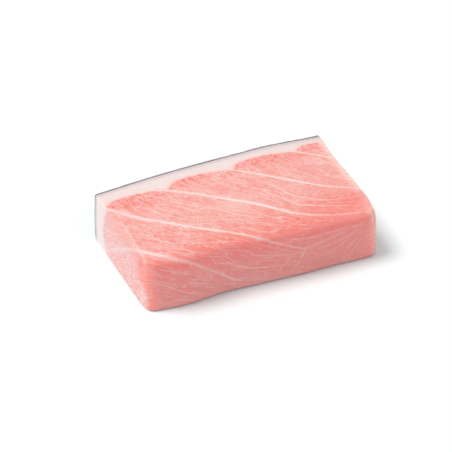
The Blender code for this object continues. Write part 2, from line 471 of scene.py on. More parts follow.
# The segment field folds here, by the front's top edge, so that threads would zigzag
FOLDS = (Patch(16, -37, 9, 5, 0.85), Patch(-33, -33, 7, 5, 0.75))

# Left of the front the fine fat makes a net of wide cells rather than threads
NETTED = Patch(-38, -17, 30, 13, 1.0)


@dataclass
class BlockSurface:
    """Finds places on the outside of a closed mesh."""

    tree: BVHTree

    @classmethod
    def of(cls, mesh: Mesh) -> "BlockSurface":
        """A finder for the surface of one mesh."""
        sides = [tuple(polygon.vertices) for polygon in mesh.polygons]
        return cls(BVHTree.FromPolygons([v.co for v in mesh.vertices], sides))

    def hit(self, start: Vector, way: Vector) -> Vector | None:
        """Where a straight line from start first meets the surface, in metres."""
        return self.tree.ray_cast(start, way)[0]

    def lift(self, face: Face, flat: Rows) -> Rows:
        """Puts a flat drawing onto a face of the block.

        Args:
            face: The face that it is drawn on.
            flat: Rows of the two coordinates that run along that face.

        Returns:
            Rows of points on the surface, in millimetres, without those that miss it.
        """
        out = Vector(face.value)
        along = [axis for axis, part in enumerate(face.value) if part == 0]
        found = []
        for pair in flat * MM:
            start = out.copy()
            for axis, value in zip(along, pair):
                start[axis] = value
            place = self.hit(start, -out)
            if place is not None:
                found.append(place[:])
        return np.array(found) / MM

    def distances(self, points: Rows) -> Rows:
        """How far each point is from the surface, in millimetres."""
        return np.array([self.tree.find_nearest(point)[3] for point in points * MM]) / MM


@dataclass
class SegmentField:
    """A smooth count of the muscle segments at every place in the block.

    It passes whole numbers on the sheets between the segments. Between the lines that it
    is given it bends as little as it can.
    """

    centres: Rows
    weights: Rows

    @classmethod
    def on(
        cls, surface: BlockSurface, lines: tuple[Streak, ...], step: float, slack: float
    ) -> "SegmentField":
        """Solves the field from the lines that have a number.

        Args:
            surface: The block's outside, which the lines lie on.
            lines: Lines of marbling.
            step: Spacing of the places taken from each line.
            slack: How loosely the field keeps to the lines.

        Returns:
            The field.
        """
        numbered = [line for line in lines if line.number is not None]
        rows = [surface.lift(line.face, through(line.points, step)) for line in numbered]
        centres = np.vstack(rows)
        values = np.concatenate([np.full(len(r), line.number) for r, line in zip(rows, numbered)])
        count = len(centres)
        slope = np.column_stack([np.ones(count), centres])
        terms = slope.shape[1]
        system = np.zeros((count + terms, count + terms))
        system[:count, :count] = np.linalg.norm(centres[:, None] - centres[None], axis=2)
        system[:count, count:] = slope
        system[count:, :count] = slope.T
        system[:count, :count] += np.eye(count) * slack
        answer = np.linalg.lstsq(system, np.concatenate([values, np.zeros(terms)]), rcond=None)[0]
        return cls(centres, answer)

    def at(self, points: Rows) -> tuple[Rows, Rows]:
        """The field and the way it rises, at rows of points.

        Args:
            points: Rows of places in millimetres.

        Returns:
            The count at each point, and the direction and rate of its rise per millimetre.
        """
        count = len(self.centres)
        counts, rises = [], []
        for part in np.array_split(points, max(1, len(points) // AT_ONCE)):
            off = part[:, None] - self.centres[None]
            reach = np.linalg.norm(off, axis=2) + TINY
            pulls, level, slope = np.split(self.weights, (count, count + 1))
            counts.append(reach @ pulls + level + part @ slope)
            rises.append(np.einsum("pc,pcd->pd", pulls / reach, off) + slope)
        return np.concatenate(counts), np.vstack(rises)


@dataclass
class Marbling:
    """Everything that a point of the flesh needs to know to be coloured and shaped."""

    surface: BlockSurface
    field: SegmentField
    # Spacing of the places that are taken from a sheet's line and from a vein's
    sheet_step: float = 4.0
    vein_step: float = 0.8
    # How loosely the field keeps to its lines
    slack: float = 0.05
    # Where a face runs along the sheets, they count as this far apart at most
    longest_pitch: float = 48.0
    sheet_spacing: float = 22.0
    # Over how far the widths and strengths of the lines around a place blend, and how sharply
    blend_reach: float = 2.0
    blend_power: float = -2.5
    # A vein reaches this far to its sides, past its ends and into the flesh, and gets this much room
    vein_reach: float = 2.4
    vein_end: Point = (2.0, 0.5)
    vein_depth: Point = (3.0, 1.5)
    vein_room: float = 4.6
    # The ends are measured at this height, and the top along this row
    ends_at: float = 30.0
    top_row: float = -30.0
    # The lip low at the front's left end, which gets pale painted light
    lip: Span3 = (-75.5, -35.0, 7.0)
    lip_reach: float = 4.5
    lip_share: float = 0.8
    # Which way the sheets run on the top and down the block
    along_sheet: Span3 = (0.755, -0.656, 0.0)
    down_sheet: Span3 = (0.49, 0.56, -0.67)
    # How far the grain turns towards the fat, from which row on, and over how long
    turn: float = 0.31
    turn_from: float = -15.0
    turn_over: float = 43.0
    # How coral the flesh is: all over, and what the fat, the front's top edge, the left end
    # and that end's rims add
    red: float = 0.42
    red_by_fat: float = 0.2
    red_by_front: float = 0.34
    red_on_left: float = -0.2
    red_in_rims: float = 0.65
    # Rows over which the front's upright edges take on their painted glows
    front_rim: Point = (-31.0, -38.5)

    @classmethod
    def of(cls, surface: BlockSurface) -> "Marbling":
        """Marbling laid out on one surface."""
        return cls(surface, SegmentField.on(surface, SHEETS + VEINS, cls.sheet_step, cls.slack))

    def sheet_values(self, points: Rows) -> tuple[Rows, Rows]:
        """Blends the widths and strengths of the sheets' lines around each point.

        Args:
            points: Rows of places in millimetres.

        Returns:
            A width and a strength for each point.
        """
        places, widths, strengths = [], [], []
        for line in SHEETS:
            row = self.surface.lift(line.face, through(line.points, self.sheet_step))
            places.append(row)
            widths.append(spread(line.widths, len(row)))
            strengths.append(spread(line.strengths, len(row)))
        places, widths, strengths = np.vstack(places), np.concatenate(widths), np.concatenate(strengths)
        width, strength = [], []
        for part in np.array_split(points, max(1, len(points) // AT_ONCE)):
            near = ((part[:, None] - places[None]) ** 2).sum(2) + self.blend_reach**2
            pull = near**self.blend_power
            pull /= pull.sum(1, keepdims=True)
            width.append(pull @ widths)
            strength.append(pull @ strengths)
        return np.concatenate(width), np.concatenate(strength)

    def vein_values(self, points: Rows) -> tuple[Rows, Rows]:
        """Signed distance to the nearest vein in each of the sets, and how much it shows.

        Veins of one set lie well apart, so that the distances of one don't run into those
        of the next.

        Args:
            points: Rows of places in millimetres.

        Returns:
            Rows with one distance for each set, as shares of the vein's half width, and rows
            with one strength for each set.
        """
        sets = len(VEIN_GROUPS) * SETS_IN_GROUP
        side = np.full((len(points), sets), FAR)
        show = np.zeros((len(points), sets))
        taken: list[list[Rows]] = [[] for _ in range(sets)]
        for line in VEINS:
            path = self.surface.lift(line.face, through(line.points, self.vein_step))
            if len(path) < 3:
                continue
            chosen = self.free_set(path, taken)
            taken[chosen].append(path)
            self.lay_vein(points, line, path, side[:, chosen], show[:, chosen])
        return side, show

    def free_set(self, path: Rows, taken: list[list[Rows]]) -> int:
        """Finds a set of veins with room for a new one, or else the one with the most room.

        Args:
            path: The new vein's points.
            taken: The veins that are in each set already.

        Returns:
            The set's number.
        """
        room = []
        for others in taken:
            gaps = [np.linalg.norm(path[:, None] - other[None], axis=2).min() for other in others]
            room.append(min(gaps, default=self.vein_room))
        return next((i for i, gap in enumerate(room) if gap >= self.vein_room), int(np.argmax(room)))

    def lay_vein(
        self, points: Rows, line: Streak, path: Rows, side: Rows, show: Rows
    ) -> None:
        """Writes one vein into its set.

        Args:
            points: Rows of places in millimetres.
            line: The vein.
            path: Its points on the surface.
            side: The set's distances, changed in place.
            show: The set's strengths, changed in place.
        """
        low, high = path.min(0) - self.vein_reach, path.max(0) + self.vein_reach
        close = np.nonzero(((points > low) & (points < high)).all(1))[0]
        if not len(close):
            return
        off = points[close][:, None] - path[None]
        nearest = np.argmin((off**2).sum(2), axis=1)
        off = off[np.arange(len(close)), nearest]
        tangent = np.gradient(path, axis=0)
        tangent /= np.linalg.norm(tangent, axis=1, keepdims=True)
        out = np.array(line.face.value, float)
        across = np.cross(out, tangent)
        across /= np.linalg.norm(across, axis=1, keepdims=True)
        distance = (off * across[nearest]).sum(1)
        past_end = np.abs((off * tangent[nearest]).sum(1))
        depth = np.abs(off @ out)
        widths = spread(line.widths, len(path))[nearest]
        strengths = spread(line.strengths, len(path))[nearest]
        seen = strengths * s_curve(past_end, *self.vein_end) * s_curve(depth, *self.vein_depth)
        seen *= s_curve(np.abs(distance), self.vein_reach, self.vein_reach * 0.7)
        wins = seen > show[close]
        show[close[wins]] = seen[wins]
        side[close[wins]] = (distance / (0.5 * widths))[wins]

    def grain(self, points: Rows, count: Rows) -> Rows:
        """Coordinates that run through the sheets and along them.

        Towards the fat the fine veins stand steeper than the sheets do.

        Args:
            points: Rows of places in millimetres.
            count: The segment count at each of them.

        Returns:
            Rows of three coordinates in millimetres.
        """
        back = np.clip(points[:, 1] - self.turn_from, 0, None)
        turned = self.turn * back * back / (2 * self.turn_over)
        along, down = points @ np.array(self.along_sheet), points @ np.array(self.down_sheet)
        return np.column_stack([count * self.sheet_spacing - turned, along, down])

    def redness(
        self, points: Rows, faces: dict[str, Rows], fat_depth: Rows, drop: Rows
    ) -> Rows:
        """How coral the flesh is: by the fat, at the front's top edge, at the end's rims, in patches.

        Args:
            points: Rows of places in millimetres.
            faces: How much each point belongs to the top, the left end and the front.
            fat_depth: How far each point is from the fat.
            drop: How far each point is below the front's top edge.

        Returns:
            A share for each point, past 1 in the reddest places.
        """
        by_fat = self.red_by_fat * s_curve(fat_depth, 12.0, 3.0)
        by_front = self.red_by_front * s_curve(points[:, 1], -29.0, -39.0)
        patches = sum(patch.share(points) for patch in PATCHES)
        on_left = self.red_on_left + self.red_in_rims * self.end_rims(points, drop)[0]
        return self.red + faces["top"] * (by_fat + by_front + patches) + faces["left"] * on_left

    def drop(self, points: Rows) -> Rows:
        """How far each point is below the block's top, as that is a little behind the front edge.

        Args:
            points: Rows of places in millimetres.

        Returns:
            The distance for each point, below 0 where it is higher.
        """
        xs = np.arange(-70.0, 71.0, 5.0)
        top = self.surface.lift(Face.TOP, np.column_stack([xs, np.full(len(xs), self.top_row)]))
        return np.interp(points[:, 0], top[:, 0], top[:, 2]) - points[:, 2]

    def end_rims(self, points: Rows, drop: Rows) -> tuple[Rows, Rows]:
        """How far into the left end's coral rims each point is.

        Args:
            points: Rows of places in millimetres.
            drop: How far each point is below the front's top edge.

        Returns:
            A share in the rim by the front, and one in the rim by the top.
        """
        upper = s_curve(drop, 26.0, 13.0)
        by_front = s_curve(points[:, 1], -38.5 + 18.5 * upper, -46.0 + 10.0 * upper)
        return by_front, s_curve(drop, 15.0, 1.5)

    def end_veil_and_sheen(self, points: Rows, left: Rows, drop: Rows) -> Rows:
        """How much of the left end's pale veil shows, which is partly a smear of fat and partly a painted
        sheen: less at its front and top rims.
        """
        by_front, by_top = self.end_rims(points, drop)
        return left * (1 - 0.95 * by_front) * (1 - 0.8 * by_top)

    def rims(
        self, points: Rows, faces: dict[str, Rows], drop: Rows
    ) -> tuple[Rows, Rows]:
        """Painted light: a glow where light gets into the thin edges, and light on the rounded corner and
        lip at the front's left end.

        Args:
            points: Rows of places in millimetres.
            faces: How much each point belongs to the top, the left end and the front.
            drop: How far each point is below the front's top edge.

        Returns:
            The pale rim along the right end's top edge and at the left end's lip, and the warm rims of the
            front's two upright edges and of the left end, each a share of painted light.
        """
        ys = np.arange(-38.0, 34.0, 4.0)
        rims = []
        for side in (-1.0, 1.0):
            hits = [self.surface.hit(Vector((side, y * MM, self.ends_at * MM)), Vector((-side, 0, 0)))
                    for y in ys]
            edge = np.interp(points[:, 1], ys, [side * place.x / MM for place in hits])
            rims.append(edge - side * points[:, 0])
        from_left, from_right = rims
        by_front_edge = s_curve(points[:, 1], *self.front_rim)
        pale = s_curve(from_right, 7.0, 0.8) * (0.35 + 0.65 * s_curve(points[:, 1], -22.0, -8.0))
        pale *= s_curve(drop, 9.0, 3.0)
        pale += 0.35 * s_curve(from_right, 5.0, 0.5) * by_front_edge
        off_lip = ((points - np.array(self.lip)) ** 2).sum(1)
        pale += self.lip_share * np.exp(-off_lip / self.lip_reach**2) * (1 - 0.9 * faces["front"])
        low = s_curve(drop, 8.0, 30.0)
        warm = s_curve(from_left, 6.0 + 2.0 * low, 0.5)
        warm *= s_curve(points[:, 1], -34.0 - 4.0 * low, -40.5 - 3.0 * low)
        warm += s_curve(from_right, 8.0 + 8.0 * low, 1.0) * by_front_edge
        by_front, by_top = self.end_rims(points, drop)
        warm = np.maximum(warm, faces["left"] * np.maximum(0.8 * by_front, 0.35 * by_top))
        return np.clip(pale, 0, 1), np.clip(warm, 0, 1)

    def store_on(self, mesh: Mesh, fat: BlockSurface) -> None:
        """Keeps all the marbling's values on a mesh.

        Args:
            mesh: The mesh that takes the values.
            fat: The fat layer's surface.
        """
        points, normals = points_of(mesh), normals_of(mesh)
        count, rise = self.field.at(points)
        along_face = rise - normals * (rise * normals).sum(1, keepdims=True)
        steep = np.maximum(np.linalg.norm(along_face, axis=1), 1 / self.longest_pitch)
        width, strength = self.sheet_values(points)
        side, show = self.vein_values(points)
        faces = {
            "top": blurred(mesh, s_curve(normals[:, 2], 0.35, 0.9), 4),
            "left": blurred(mesh, s_curve(-normals[:, 0], 0.35, 0.9), 6),
            "front": blurred(mesh, s_curve(-normals[:, 1], 0.35, 0.85), 3),
        }
        # The sheets show less on the left end, and none shows left of the one with the number -1
        strength *= 1 - 0.78 * faces["left"]
        strength *= s_curve(count, -1.6, -1.4)
        fat_depth = fat.distances(points)
        for name, values in zip(SHEET_VALUES, (count, 1 / steep, width, strength)):
            store(mesh, name, values)
        for name, values in (("vein_side", side), ("vein_show", show)):
            for group, part in zip(VEIN_GROUPS, np.split(values, len(VEIN_GROUPS), axis=1)):
                store(mesh, f"{name}_{group}", part)
        store(mesh, "grain", self.grain(points, count))
        store(mesh, "fat_depth", fat_depth)
        drop = self.drop(points)
        store(mesh, "redness", self.redness(points, faces, fat_depth, drop))
        store(mesh, "drop", drop)
        store(mesh, "front_share", faces["front"])
        # Threads get fewer towards the right end and where the field folds
        calm = s_curve(points[:, 0], 12.0, 42.0) * (0.2 + 0.4 * s_curve(points[:, 1], 0.0, -14.0))
        for fold in FOLDS:
            calm = np.maximum(calm, fold.share(points))
        dense = (1 - calm) * (1 - 0.5 * faces["front"]) * (1 - 0.5 * faces["left"])
        netted = NETTED.share(points) * faces["top"]
        store(mesh, "thread_share", dense * (1 - 0.45 * netted))
        store(mesh, "wide_net_share", dense * netted)
        store(mesh, "net_share", dense * s_curve(fat_depth, 22.0, 6.0))
        store(mesh, "left_share", self.end_veil_and_sheen(points, faces["left"], drop))
        pale, warm = self.rims(points, faces, drop)
        store(mesh, "painted_pale_glow_share", pale)
        store(mesh, "painted_warm_glow_share", warm)


@dataclass(frozen=True)
class FineFat:
    """One family of fine fat in the flesh, stretched along the grain.

    Across and along are the spacings of its lines, width is half a line's width, and
    strength is how white it gets.
    """

    across: float
    along: float
    width: float
    strength: float


@dataclass(frozen=True)
class RawFlesh:
    """Raw tuna belly muscle, cut with a long knife: translucent, satin-wet, marbled with fat.

    The fat in it scatters light, so it looks lit from inside and has no hard highlights.
    """

    pale: Colour = linear("EAB6AC")
    coral: Colour = linear("EA8074")
    # The left end's veil: partly a smear of fat, partly a painted sheen
    veil: Colour = linear("EFC6C2")
    rose: Colour = linear("E69896")
    # Painted light: the glows of the thin rims, pale and warm
    painted_pale_glow_colour: Colour = linear("F7D6CC")
    painted_warm_glow_colour: Colour = linear("FF998F")
    haze: Colour = linear("EFB7B3")
    tissue: Colour = linear("EED7D2")
    sheet: Colour = linear("EEDAD5")
    fat: Colour = linear("EEDAD6")
    # The cut front from its top edge down to the floor, as shares of the block's height. Its steps hold
    # painted light: brightest under the top edge, where light from above comes through, and duller lower
    # down
    front_steps_with_painted_light: tuple[tuple[float, Colour], ...] = (
        (0.05, linear("FD938B")), (0.16, linear("FB8881")), (0.34, linear("F1928E")),
        (0.76, linear("EC938E")), (0.96, linear("EFA09B")),
    )
    block_height: float = 34.0
    roughness: float = 0.42
    slope_step: float = 0.08
    least_slope: float = 0.22
    glow_radius: Span3 = (1.0, 0.42, 0.34)
    glow_scale: float = 1.1
    rim_glow: float = 2.6
    mottle_size: float = 3.4
    # The specks are bundles of fibre that are cut across, flattened along the lean of the sheets
    speck_size: float = 1.5
    speck_ways: tuple[Span3, Span3] = ((0.3, 0.42, 0.0), (0.0, 0.55, 0.87))
    # Seen on the top the fibres lie a little off the block's length; on the front they rise
    fibre_turn: float = 29.7
    fibre_rise: float = 38.0
    # Muscle fibres are a tenth of a millimetre thick, too fine to show, so they are drawn in
    # streaks of this width
    fibre_pitch: float = 0.6
    fibre_length: float = 5.0
    fibre_height: float = 0.2
    # How far mottling and fibres take the colour up and down
    mottle_amount: float = 0.9
    fibre_amount: float = 1.3
    # How many turns to the millimetre the wandering and the breaks of lines have
    thread_breaks: float = 0.22
    vein_wander: float = 0.28
    vein_breaks: float = 0.4
    sheet_wander: float = 0.3
    sheet_breaks: float = 0.35
    fringe_wander: float = 0.6
    # Hair-fine fat is 0.1 to 0.3 mm wide, and is drawn at twice that and more so that it shows
    net: FineFat = FineFat(across=2.2, along=5.0, width=0.3, strength=0.55)
    wide_net: FineFat = FineFat(across=3.6, along=9.0, width=0.4, strength=0.75)
    threads: FineFat = FineFat(across=4.2, along=30.0, width=0.42, strength=0.64)
    fine_threads: FineFat = FineFat(across=2.2, along=17.0, width=0.34, strength=0.5)
    long_threads: FineFat = FineFat(across=8.0, along=75.0, width=0.45, strength=0.6)

    def material(self) -> Material:
        """Builds the material."""
        material, mm = start_material("raw_tuna_belly_flesh")
        tree = material.node_tree
        grain = add_node(tree, "ShaderNodeAttribute", attribute_name="grain").outputs["Vector"]
        mottle = add_node(tree, "ShaderNodeTexNoise",
                          {"Vector": mm, "Scale": 1 / self.mottle_size, "Detail": 4.0, "Roughness": 0.62})
        fibre = self.fibres(tree, mm)
        body = self.body_colour(tree, mm, mottle, fibre)
        colour = self.add_fine_veins(tree, mm, grain, body)
        colour = self.add_veins(tree, mm, colour)
        colour = self.add_sheets(tree, mm, fibre, colour)
        colour = self.add_fat_fringe(tree, mm, colour)
        rough = add_node(tree, "ShaderNodeMapRange",
                         {"Value": mottle, "To Min": self.roughness - 0.08, "To Max": self.roughness + 0.08})
        bump = add_node(tree, "ShaderNodeBump",
                        {"Height": fibre, "Strength": 0.2, "Distance": self.fibre_height * MM})
        shader = add_node(tree, "ShaderNodeBsdfPrincipled", {
            "Base Color": colour, "Roughness": rough, "Normal": bump, "IOR": 1.40,
            "Specular IOR Level": 0.32, "Subsurface Weight": self.glow(tree),
            "Subsurface Radius": self.glow_radius, "Subsurface Scale": self.glow_reach(tree),
        })
        add_node(tree, "ShaderNodeOutputMaterial", {"Surface": shader})
        return material

    def glow(self, tree: NodeTree) -> Node:
        """How much light scatters inside: less at the seam, which would show dark otherwise."""
        depth = add_node(tree, "ShaderNodeAttribute", attribute_name="fat_depth").outputs["Fac"]
        return add_node(tree, "ShaderNodeMapRange",
                        {"Value": depth, "From Min": 0.5, "From Max": 5.0, "To Min": 0.0, "To Max": 0.7},
                        interpolation_type="SMOOTHSTEP")

    def glow_reach(self, tree: NodeTree) -> Node:
        """How far light scatters inside: further in the thin edges, which it passes right through.

        Args:
            tree: The material's tree.

        Returns:
            The node that gives the reach.
        """
        warm, pale = (
            add_node(tree, "ShaderNodeAttribute", attribute_name=name).outputs["Fac"]
            for name in ("painted_warm_glow_share", "painted_pale_glow_share")
        )
        rim = add_node(tree, "ShaderNodeMath", {0: warm, 1: pale}, operation="MAXIMUM")
        return add_node(tree, "ShaderNodeMapRange",
                        {"Value": rim, "To Min": self.glow_scale * MM, "To Max": self.rim_glow * MM})

    def fibres(self, tree: NodeTree, mm: Node) -> Node:
        """Fine streaks along the muscle fibres, which cross from sheet to sheet.

        Args:
            tree: The material's tree.
            mm: Place in millimetres.

        Returns:
            The node that gives the streaks.
        """
        across = 1 / self.fibre_pitch
        fibres = []
        for angle, axis in ((-self.fibre_turn, "Z_AXIS"), (self.fibre_rise, "Y_AXIS")):
            turned = add_node(tree, "ShaderNodeVectorRotate",
                              {"Vector": mm, "Angle": math.radians(angle)}, rotation_type=axis)
            stretched = add_node(tree, "ShaderNodeVectorMath",
                                 {0: turned, 1: (1 / self.fibre_length, across, across)},
                                 operation="MULTIPLY")
            fibres.append(add_node(tree, "ShaderNodeTexNoise", {"Vector": stretched, "Scale": 1.0,
                                                                "Detail": 2.0, "Roughness": 0.5}))
        front = add_node(tree, "ShaderNodeAttribute", attribute_name="front_share").outputs["Fac"]
        return add_node(tree, "ShaderNodeMix", {"Factor": front, "A": fibres[0], "B": fibres[1]})

    def body_colour(self, tree: NodeTree, mm: Node, mottle: Node, fibre: Node) -> Node:
        """The flesh between the veins: pale to coral, deeper on the cut front with painted light down it,
        veiled at the left end partly by a painted sheen, and with painted glows on the thin rims.

        Args:
            tree: The material's tree.
            mm: Place in millimetres.
            mottle: Soft patches a few millimetres wide.
            fibre: Streaks along the muscle fibres.

        Returns:
            The node that gives the colour.
        """
        red, front, left = (
            add_node(tree, "ShaderNodeAttribute", attribute_name=name).outputs["Fac"]
            for name in ("redness", "front_share", "left_share")
        )
        uneven, streaky = (
            add_node(tree, "ShaderNodeMath", {0: noise, 1: amount, 2: -amount / 2}, operation="MULTIPLY_ADD")
            for noise, amount in ((mottle, self.mottle_amount), (fibre, self.fibre_amount))
        )
        uneven = add_node(tree, "ShaderNodeMath", {0: uneven, 1: streaky}, operation="ADD")
        total = add_node(tree, "ShaderNodeMath", {0: red, 1: uneven}, operation="ADD", use_clamp=True)
        flesh = add_node(tree, "ShaderNodeMix", {"Factor": total, "A": self.pale, "B": self.coral},
                         data_type="RGBA")
        flesh = add_node(tree, "ShaderNodeMix",
                         {"Factor": front, "A": flesh, "B": self.front_colour_with_painted_light(tree, uneven)},
                         data_type="RGBA")
        specks = self.specks(tree, mm)
        flesh = add_node(tree, "ShaderNodeMix",
                         {"Factor": self.broken_up(tree, left, specks), "A": flesh,
                          "B": self.veil_and_sheen_colour(tree, specks)}, data_type="RGBA")
        soft = add_node(tree, "ShaderNodeMapRange", {"Value": specks, "From Min": 0.66, "From Max": 0.42,
                                                     "To Min": 0.35, "To Max": 1.0})
        # Painted light: the warm and pale glows of the thin rims
        for name, colour in (("painted_warm_glow_share", self.painted_warm_glow_colour), ("painted_pale_glow_share", self.painted_pale_glow_colour)):
            rim = add_node(tree, "ShaderNodeAttribute", attribute_name=name).outputs["Fac"]
            rim = self.broken_up(tree, rim, specks)
            rim = add_node(tree, "ShaderNodeMath", {0: rim, 1: soft}, operation="MULTIPLY")
            flesh = add_node(tree, "ShaderNodeMix", {"Factor": rim, "A": flesh, "B": colour},
                             data_type="RGBA")
        return flesh

    def specks(self, tree: NodeTree, mm: Node) -> Node:
        """Specks of fibre bundles that are cut across.

        Args:
            tree: The material's tree.
            mm: Place in millimetres.

        Returns:
            The node that gives the specks.
        """
        leaning = {
            axis: add_node(tree, "ShaderNodeVectorMath", {0: mm, 1: way},
                           operation="DOT_PRODUCT").outputs["Value"]
            for axis, way in enumerate(self.speck_ways)
        }
        flat = add_node(tree, "ShaderNodeCombineXYZ", leaning)
        return add_node(tree, "ShaderNodeTexNoise",
                        {"Vector": flat, "Scale": 1 / self.speck_size, "Detail": 4.0, "Roughness": 0.85})

    def broken_up(self, tree: NodeTree, share: NodeSocket, specks: Node) -> Node:
        """Breaks a soft limit up into specks, and leaves what is wholly in or out as it is.

        Args:
            tree: The material's tree.
            share: A share that goes softly from 0 to 1.
            specks: The specks.

        Returns:
            The node that gives the broken share.
        """
        rest = add_node(tree, "ShaderNodeMath", {0: 1.0, 1: share}, operation="SUBTRACT")
        between = add_node(tree, "ShaderNodeMath", {0: share, 1: rest}, operation="MULTIPLY")
        above = add_node(tree, "ShaderNodeMath", {0: specks, 1: -10.0, 2: 5.0}, operation="MULTIPLY_ADD")
        return add_node(tree, "ShaderNodeMath", {0: between, 1: above, 2: share},
                        operation="MULTIPLY_ADD", use_clamp=True)

    def veil_and_sheen_colour(self, tree: NodeTree, specks: Node) -> Node:
        """The left end, where the fibres are cut across: rosy specks on a pale veil that is partly a smear
        of fat and partly a painted sheen.
        """
        rosy = add_node(tree, "ShaderNodeMapRange", {"Value": specks, "From Min": 0.43, "From Max": 0.6})
        return add_node(tree, "ShaderNodeMix", {"Factor": rosy, "A": self.veil, "B": self.rose},
                        data_type="RGBA")

    def front_colour_with_painted_light(self, tree: NodeTree, uneven: Node) -> Node:
        """The cut front: reddest under its top edge, and duller towards the floor, which is painted light
        from above that comes through the top edge.

        Args:
            tree: The material's tree.
            uneven: Mottling and streaks, up and down round 0.

        Returns:
            The node that gives the colour.
        """
        drop = add_node(tree, "ShaderNodeAttribute", attribute_name="drop").outputs["Fac"]
        share = add_node(tree, "ShaderNodeMath", {0: drop, 1: self.block_height}, operation="DIVIDE")
        ramp = add_node(tree, "ShaderNodeValToRGB", {"Fac": share})
        steps = ramp.color_ramp.elements
        while len(steps) < len(self.front_steps_with_painted_light):
            steps.new(0.5)
        for step, (place, colour) in zip(steps, self.front_steps_with_painted_light):
            step.position = place
            step.color = colour
        hazy = add_node(tree, "ShaderNodeMapRange", {"Value": uneven, "From Min": 0.05, "From Max": -0.5,
                                                     "To Min": 0.0, "To Max": 0.6})
        return add_node(tree, "ShaderNodeMix", {"Factor": hazy, "A": ramp.outputs["Color"], "B": self.haze},
                        data_type="RGBA")

    def along_grain(self, tree: NodeTree, grain: NodeSocket, family: FineFat) -> Node:
        """Coordinates in which a family of fine fat is as wide as it is long."""
        scale = (1 / family.across, 1 / family.along, 1 / family.along)
        return add_node(tree, "ShaderNodeVectorMath", {0: grain, 1: scale}, operation="MULTIPLY")

    def fat_net(self, tree: NodeTree, mm: Node, grain: NodeSocket, family: FineFat) -> Node:
        """Thin walls between cells that lie along the grain.

        Args:
            tree: The material's tree.
            mm: Place in millimetres.
            grain: Coordinates through and along the sheets.
            family: The sizes of the cells.

        Returns:
            The node that gives how much of the wall shows.
        """
        cells = self.along_grain(tree, grain, family)
        warp = add_node(tree, "ShaderNodeTexNoise", {"Vector": mm, "Scale": 0.8 / family.across,
                                                     "Detail": 2.0, "Roughness": 0.6})
        warped = add_node(tree, "ShaderNodeVectorMath",
                          {0: warp.outputs["Color"], 1: (0.9, 0.9, 0.9), 2: cells}, operation="MULTIPLY_ADD")
        edges = add_node(tree, "ShaderNodeTexVoronoi", {"Vector": warped, "Scale": 1.0},
                         feature="DISTANCE_TO_EDGE")
        width = family.width / family.across
        return add_node(tree, "ShaderNodeMapRange",
                        {"Value": edges, "From Min": 0.1 * width, "From Max": width,
                         "To Min": family.strength, "To Max": 0.0}, interpolation_type="SMOOTHSTEP")

    def fat_threads(self, tree: NodeTree, grain: NodeSocket, family: FineFat) -> Node:
        """Thin lines that run along the grain and never cross: the level lines of a stretched noise.

        The noise's slope across the grain turns its height into a distance, so that a line
        is as thin where the noise is flat as where it is steep.

        Args:
            tree: The material's tree.
            grain: Coordinates through and along the sheets.
            family: The sizes of the threads.

        Returns:
            The node that gives how much of the thread shows.
        """
        stretched = self.along_grain(tree, grain, family)
        beside = add_node(tree, "ShaderNodeVectorMath", {0: stretched, 1: (self.slope_step, 0, 0)},
                          operation="ADD")
        noise, next_noise = (
            add_node(tree, "ShaderNodeTexNoise",
                     {"Vector": place, "Scale": 1.0, "Detail": 1.0, "Roughness": 0.4})
            for place in (stretched, beside)
        )
        rise = add_node(tree, "ShaderNodeMath", {0: next_noise, 1: noise}, operation="SUBTRACT")
        rise = add_node(tree, "ShaderNodeMath", {0: rise}, operation="ABSOLUTE")
        slope = add_node(tree, "ShaderNodeMath", {0: rise, 1: 1 / (self.slope_step * family.across)},
                         operation="MULTIPLY")
        slope = add_node(tree, "ShaderNodeMath", {0: slope, 1: self.least_slope / family.across},
                         operation="MAXIMUM")
        off = add_node(tree, "ShaderNodeMath", {0: noise, 1: 0.5}, operation="SUBTRACT")
        off = add_node(tree, "ShaderNodeMath", {0: off}, operation="ABSOLUTE")
        off = add_node(tree, "ShaderNodeMath", {0: off, 1: slope}, operation="DIVIDE")
        return add_node(tree, "ShaderNodeMapRange",
                        {"Value": off, "From Min": 0.1 * family.width, "From Max": family.width,
                         "To Min": family.strength, "To Max": 0.0}, interpolation_type="SMOOTHSTEP")

    def add_fine_veins(self, tree: NodeTree, mm: Node, grain: NodeSocket, colour: Node) -> Node:
        """Hair-fine fat: threads along the grain, and a net of cells close to the fat and left of the front.

        Args:
            tree: The material's tree.
            mm: Place in millimetres.
            grain: Coordinates through and along the sheets.
            colour: The colour so far.

        Returns:
            The colour with the fine veins.
        """
        netted, widely, dense = (
            add_node(tree, "ShaderNodeAttribute", attribute_name=f"{name}_share").outputs["Fac"]
            for name in ("net", "wide_net", "thread")
        )
        broken = add_node(tree, "ShaderNodeTexNoise",
                          {"Vector": mm, "Scale": self.thread_breaks, "Detail": 2.0})
        often, seldom = (
            add_node(tree, "ShaderNodeMapRange",
                     {"Value": broken, "From Min": low, "From Max": high, "To Min": least, "To Max": 1.0})
            for low, high, least in ((0.38, 0.56, 0.15), (0.6, 0.46, 0.2))
        )
        net, wide_net = (self.fat_net(tree, mm, grain, family) for family in (self.net, self.wide_net))
        total: Node | float = 0.0
        threads, fine, long = (
            self.fat_threads(tree, grain, family)
            for family in (self.threads, self.fine_threads, self.long_threads)
        )
        for line, shares in ((net, (netted, often)), (wide_net, (widely, often)), (threads, (often, dense)),
                             (fine, (seldom, dense)), (long, (seldom, dense))):
            for share in shares:
                line = add_node(tree, "ShaderNodeMath", {0: line, 1: share}, operation="MULTIPLY")
            total = add_node(tree, "ShaderNodeMath", {0: line, 1: total}, operation="MAXIMUM")
        return add_node(tree, "ShaderNodeMix", {"Factor": total, "A": colour, "B": self.tissue},
                        data_type="RGBA")

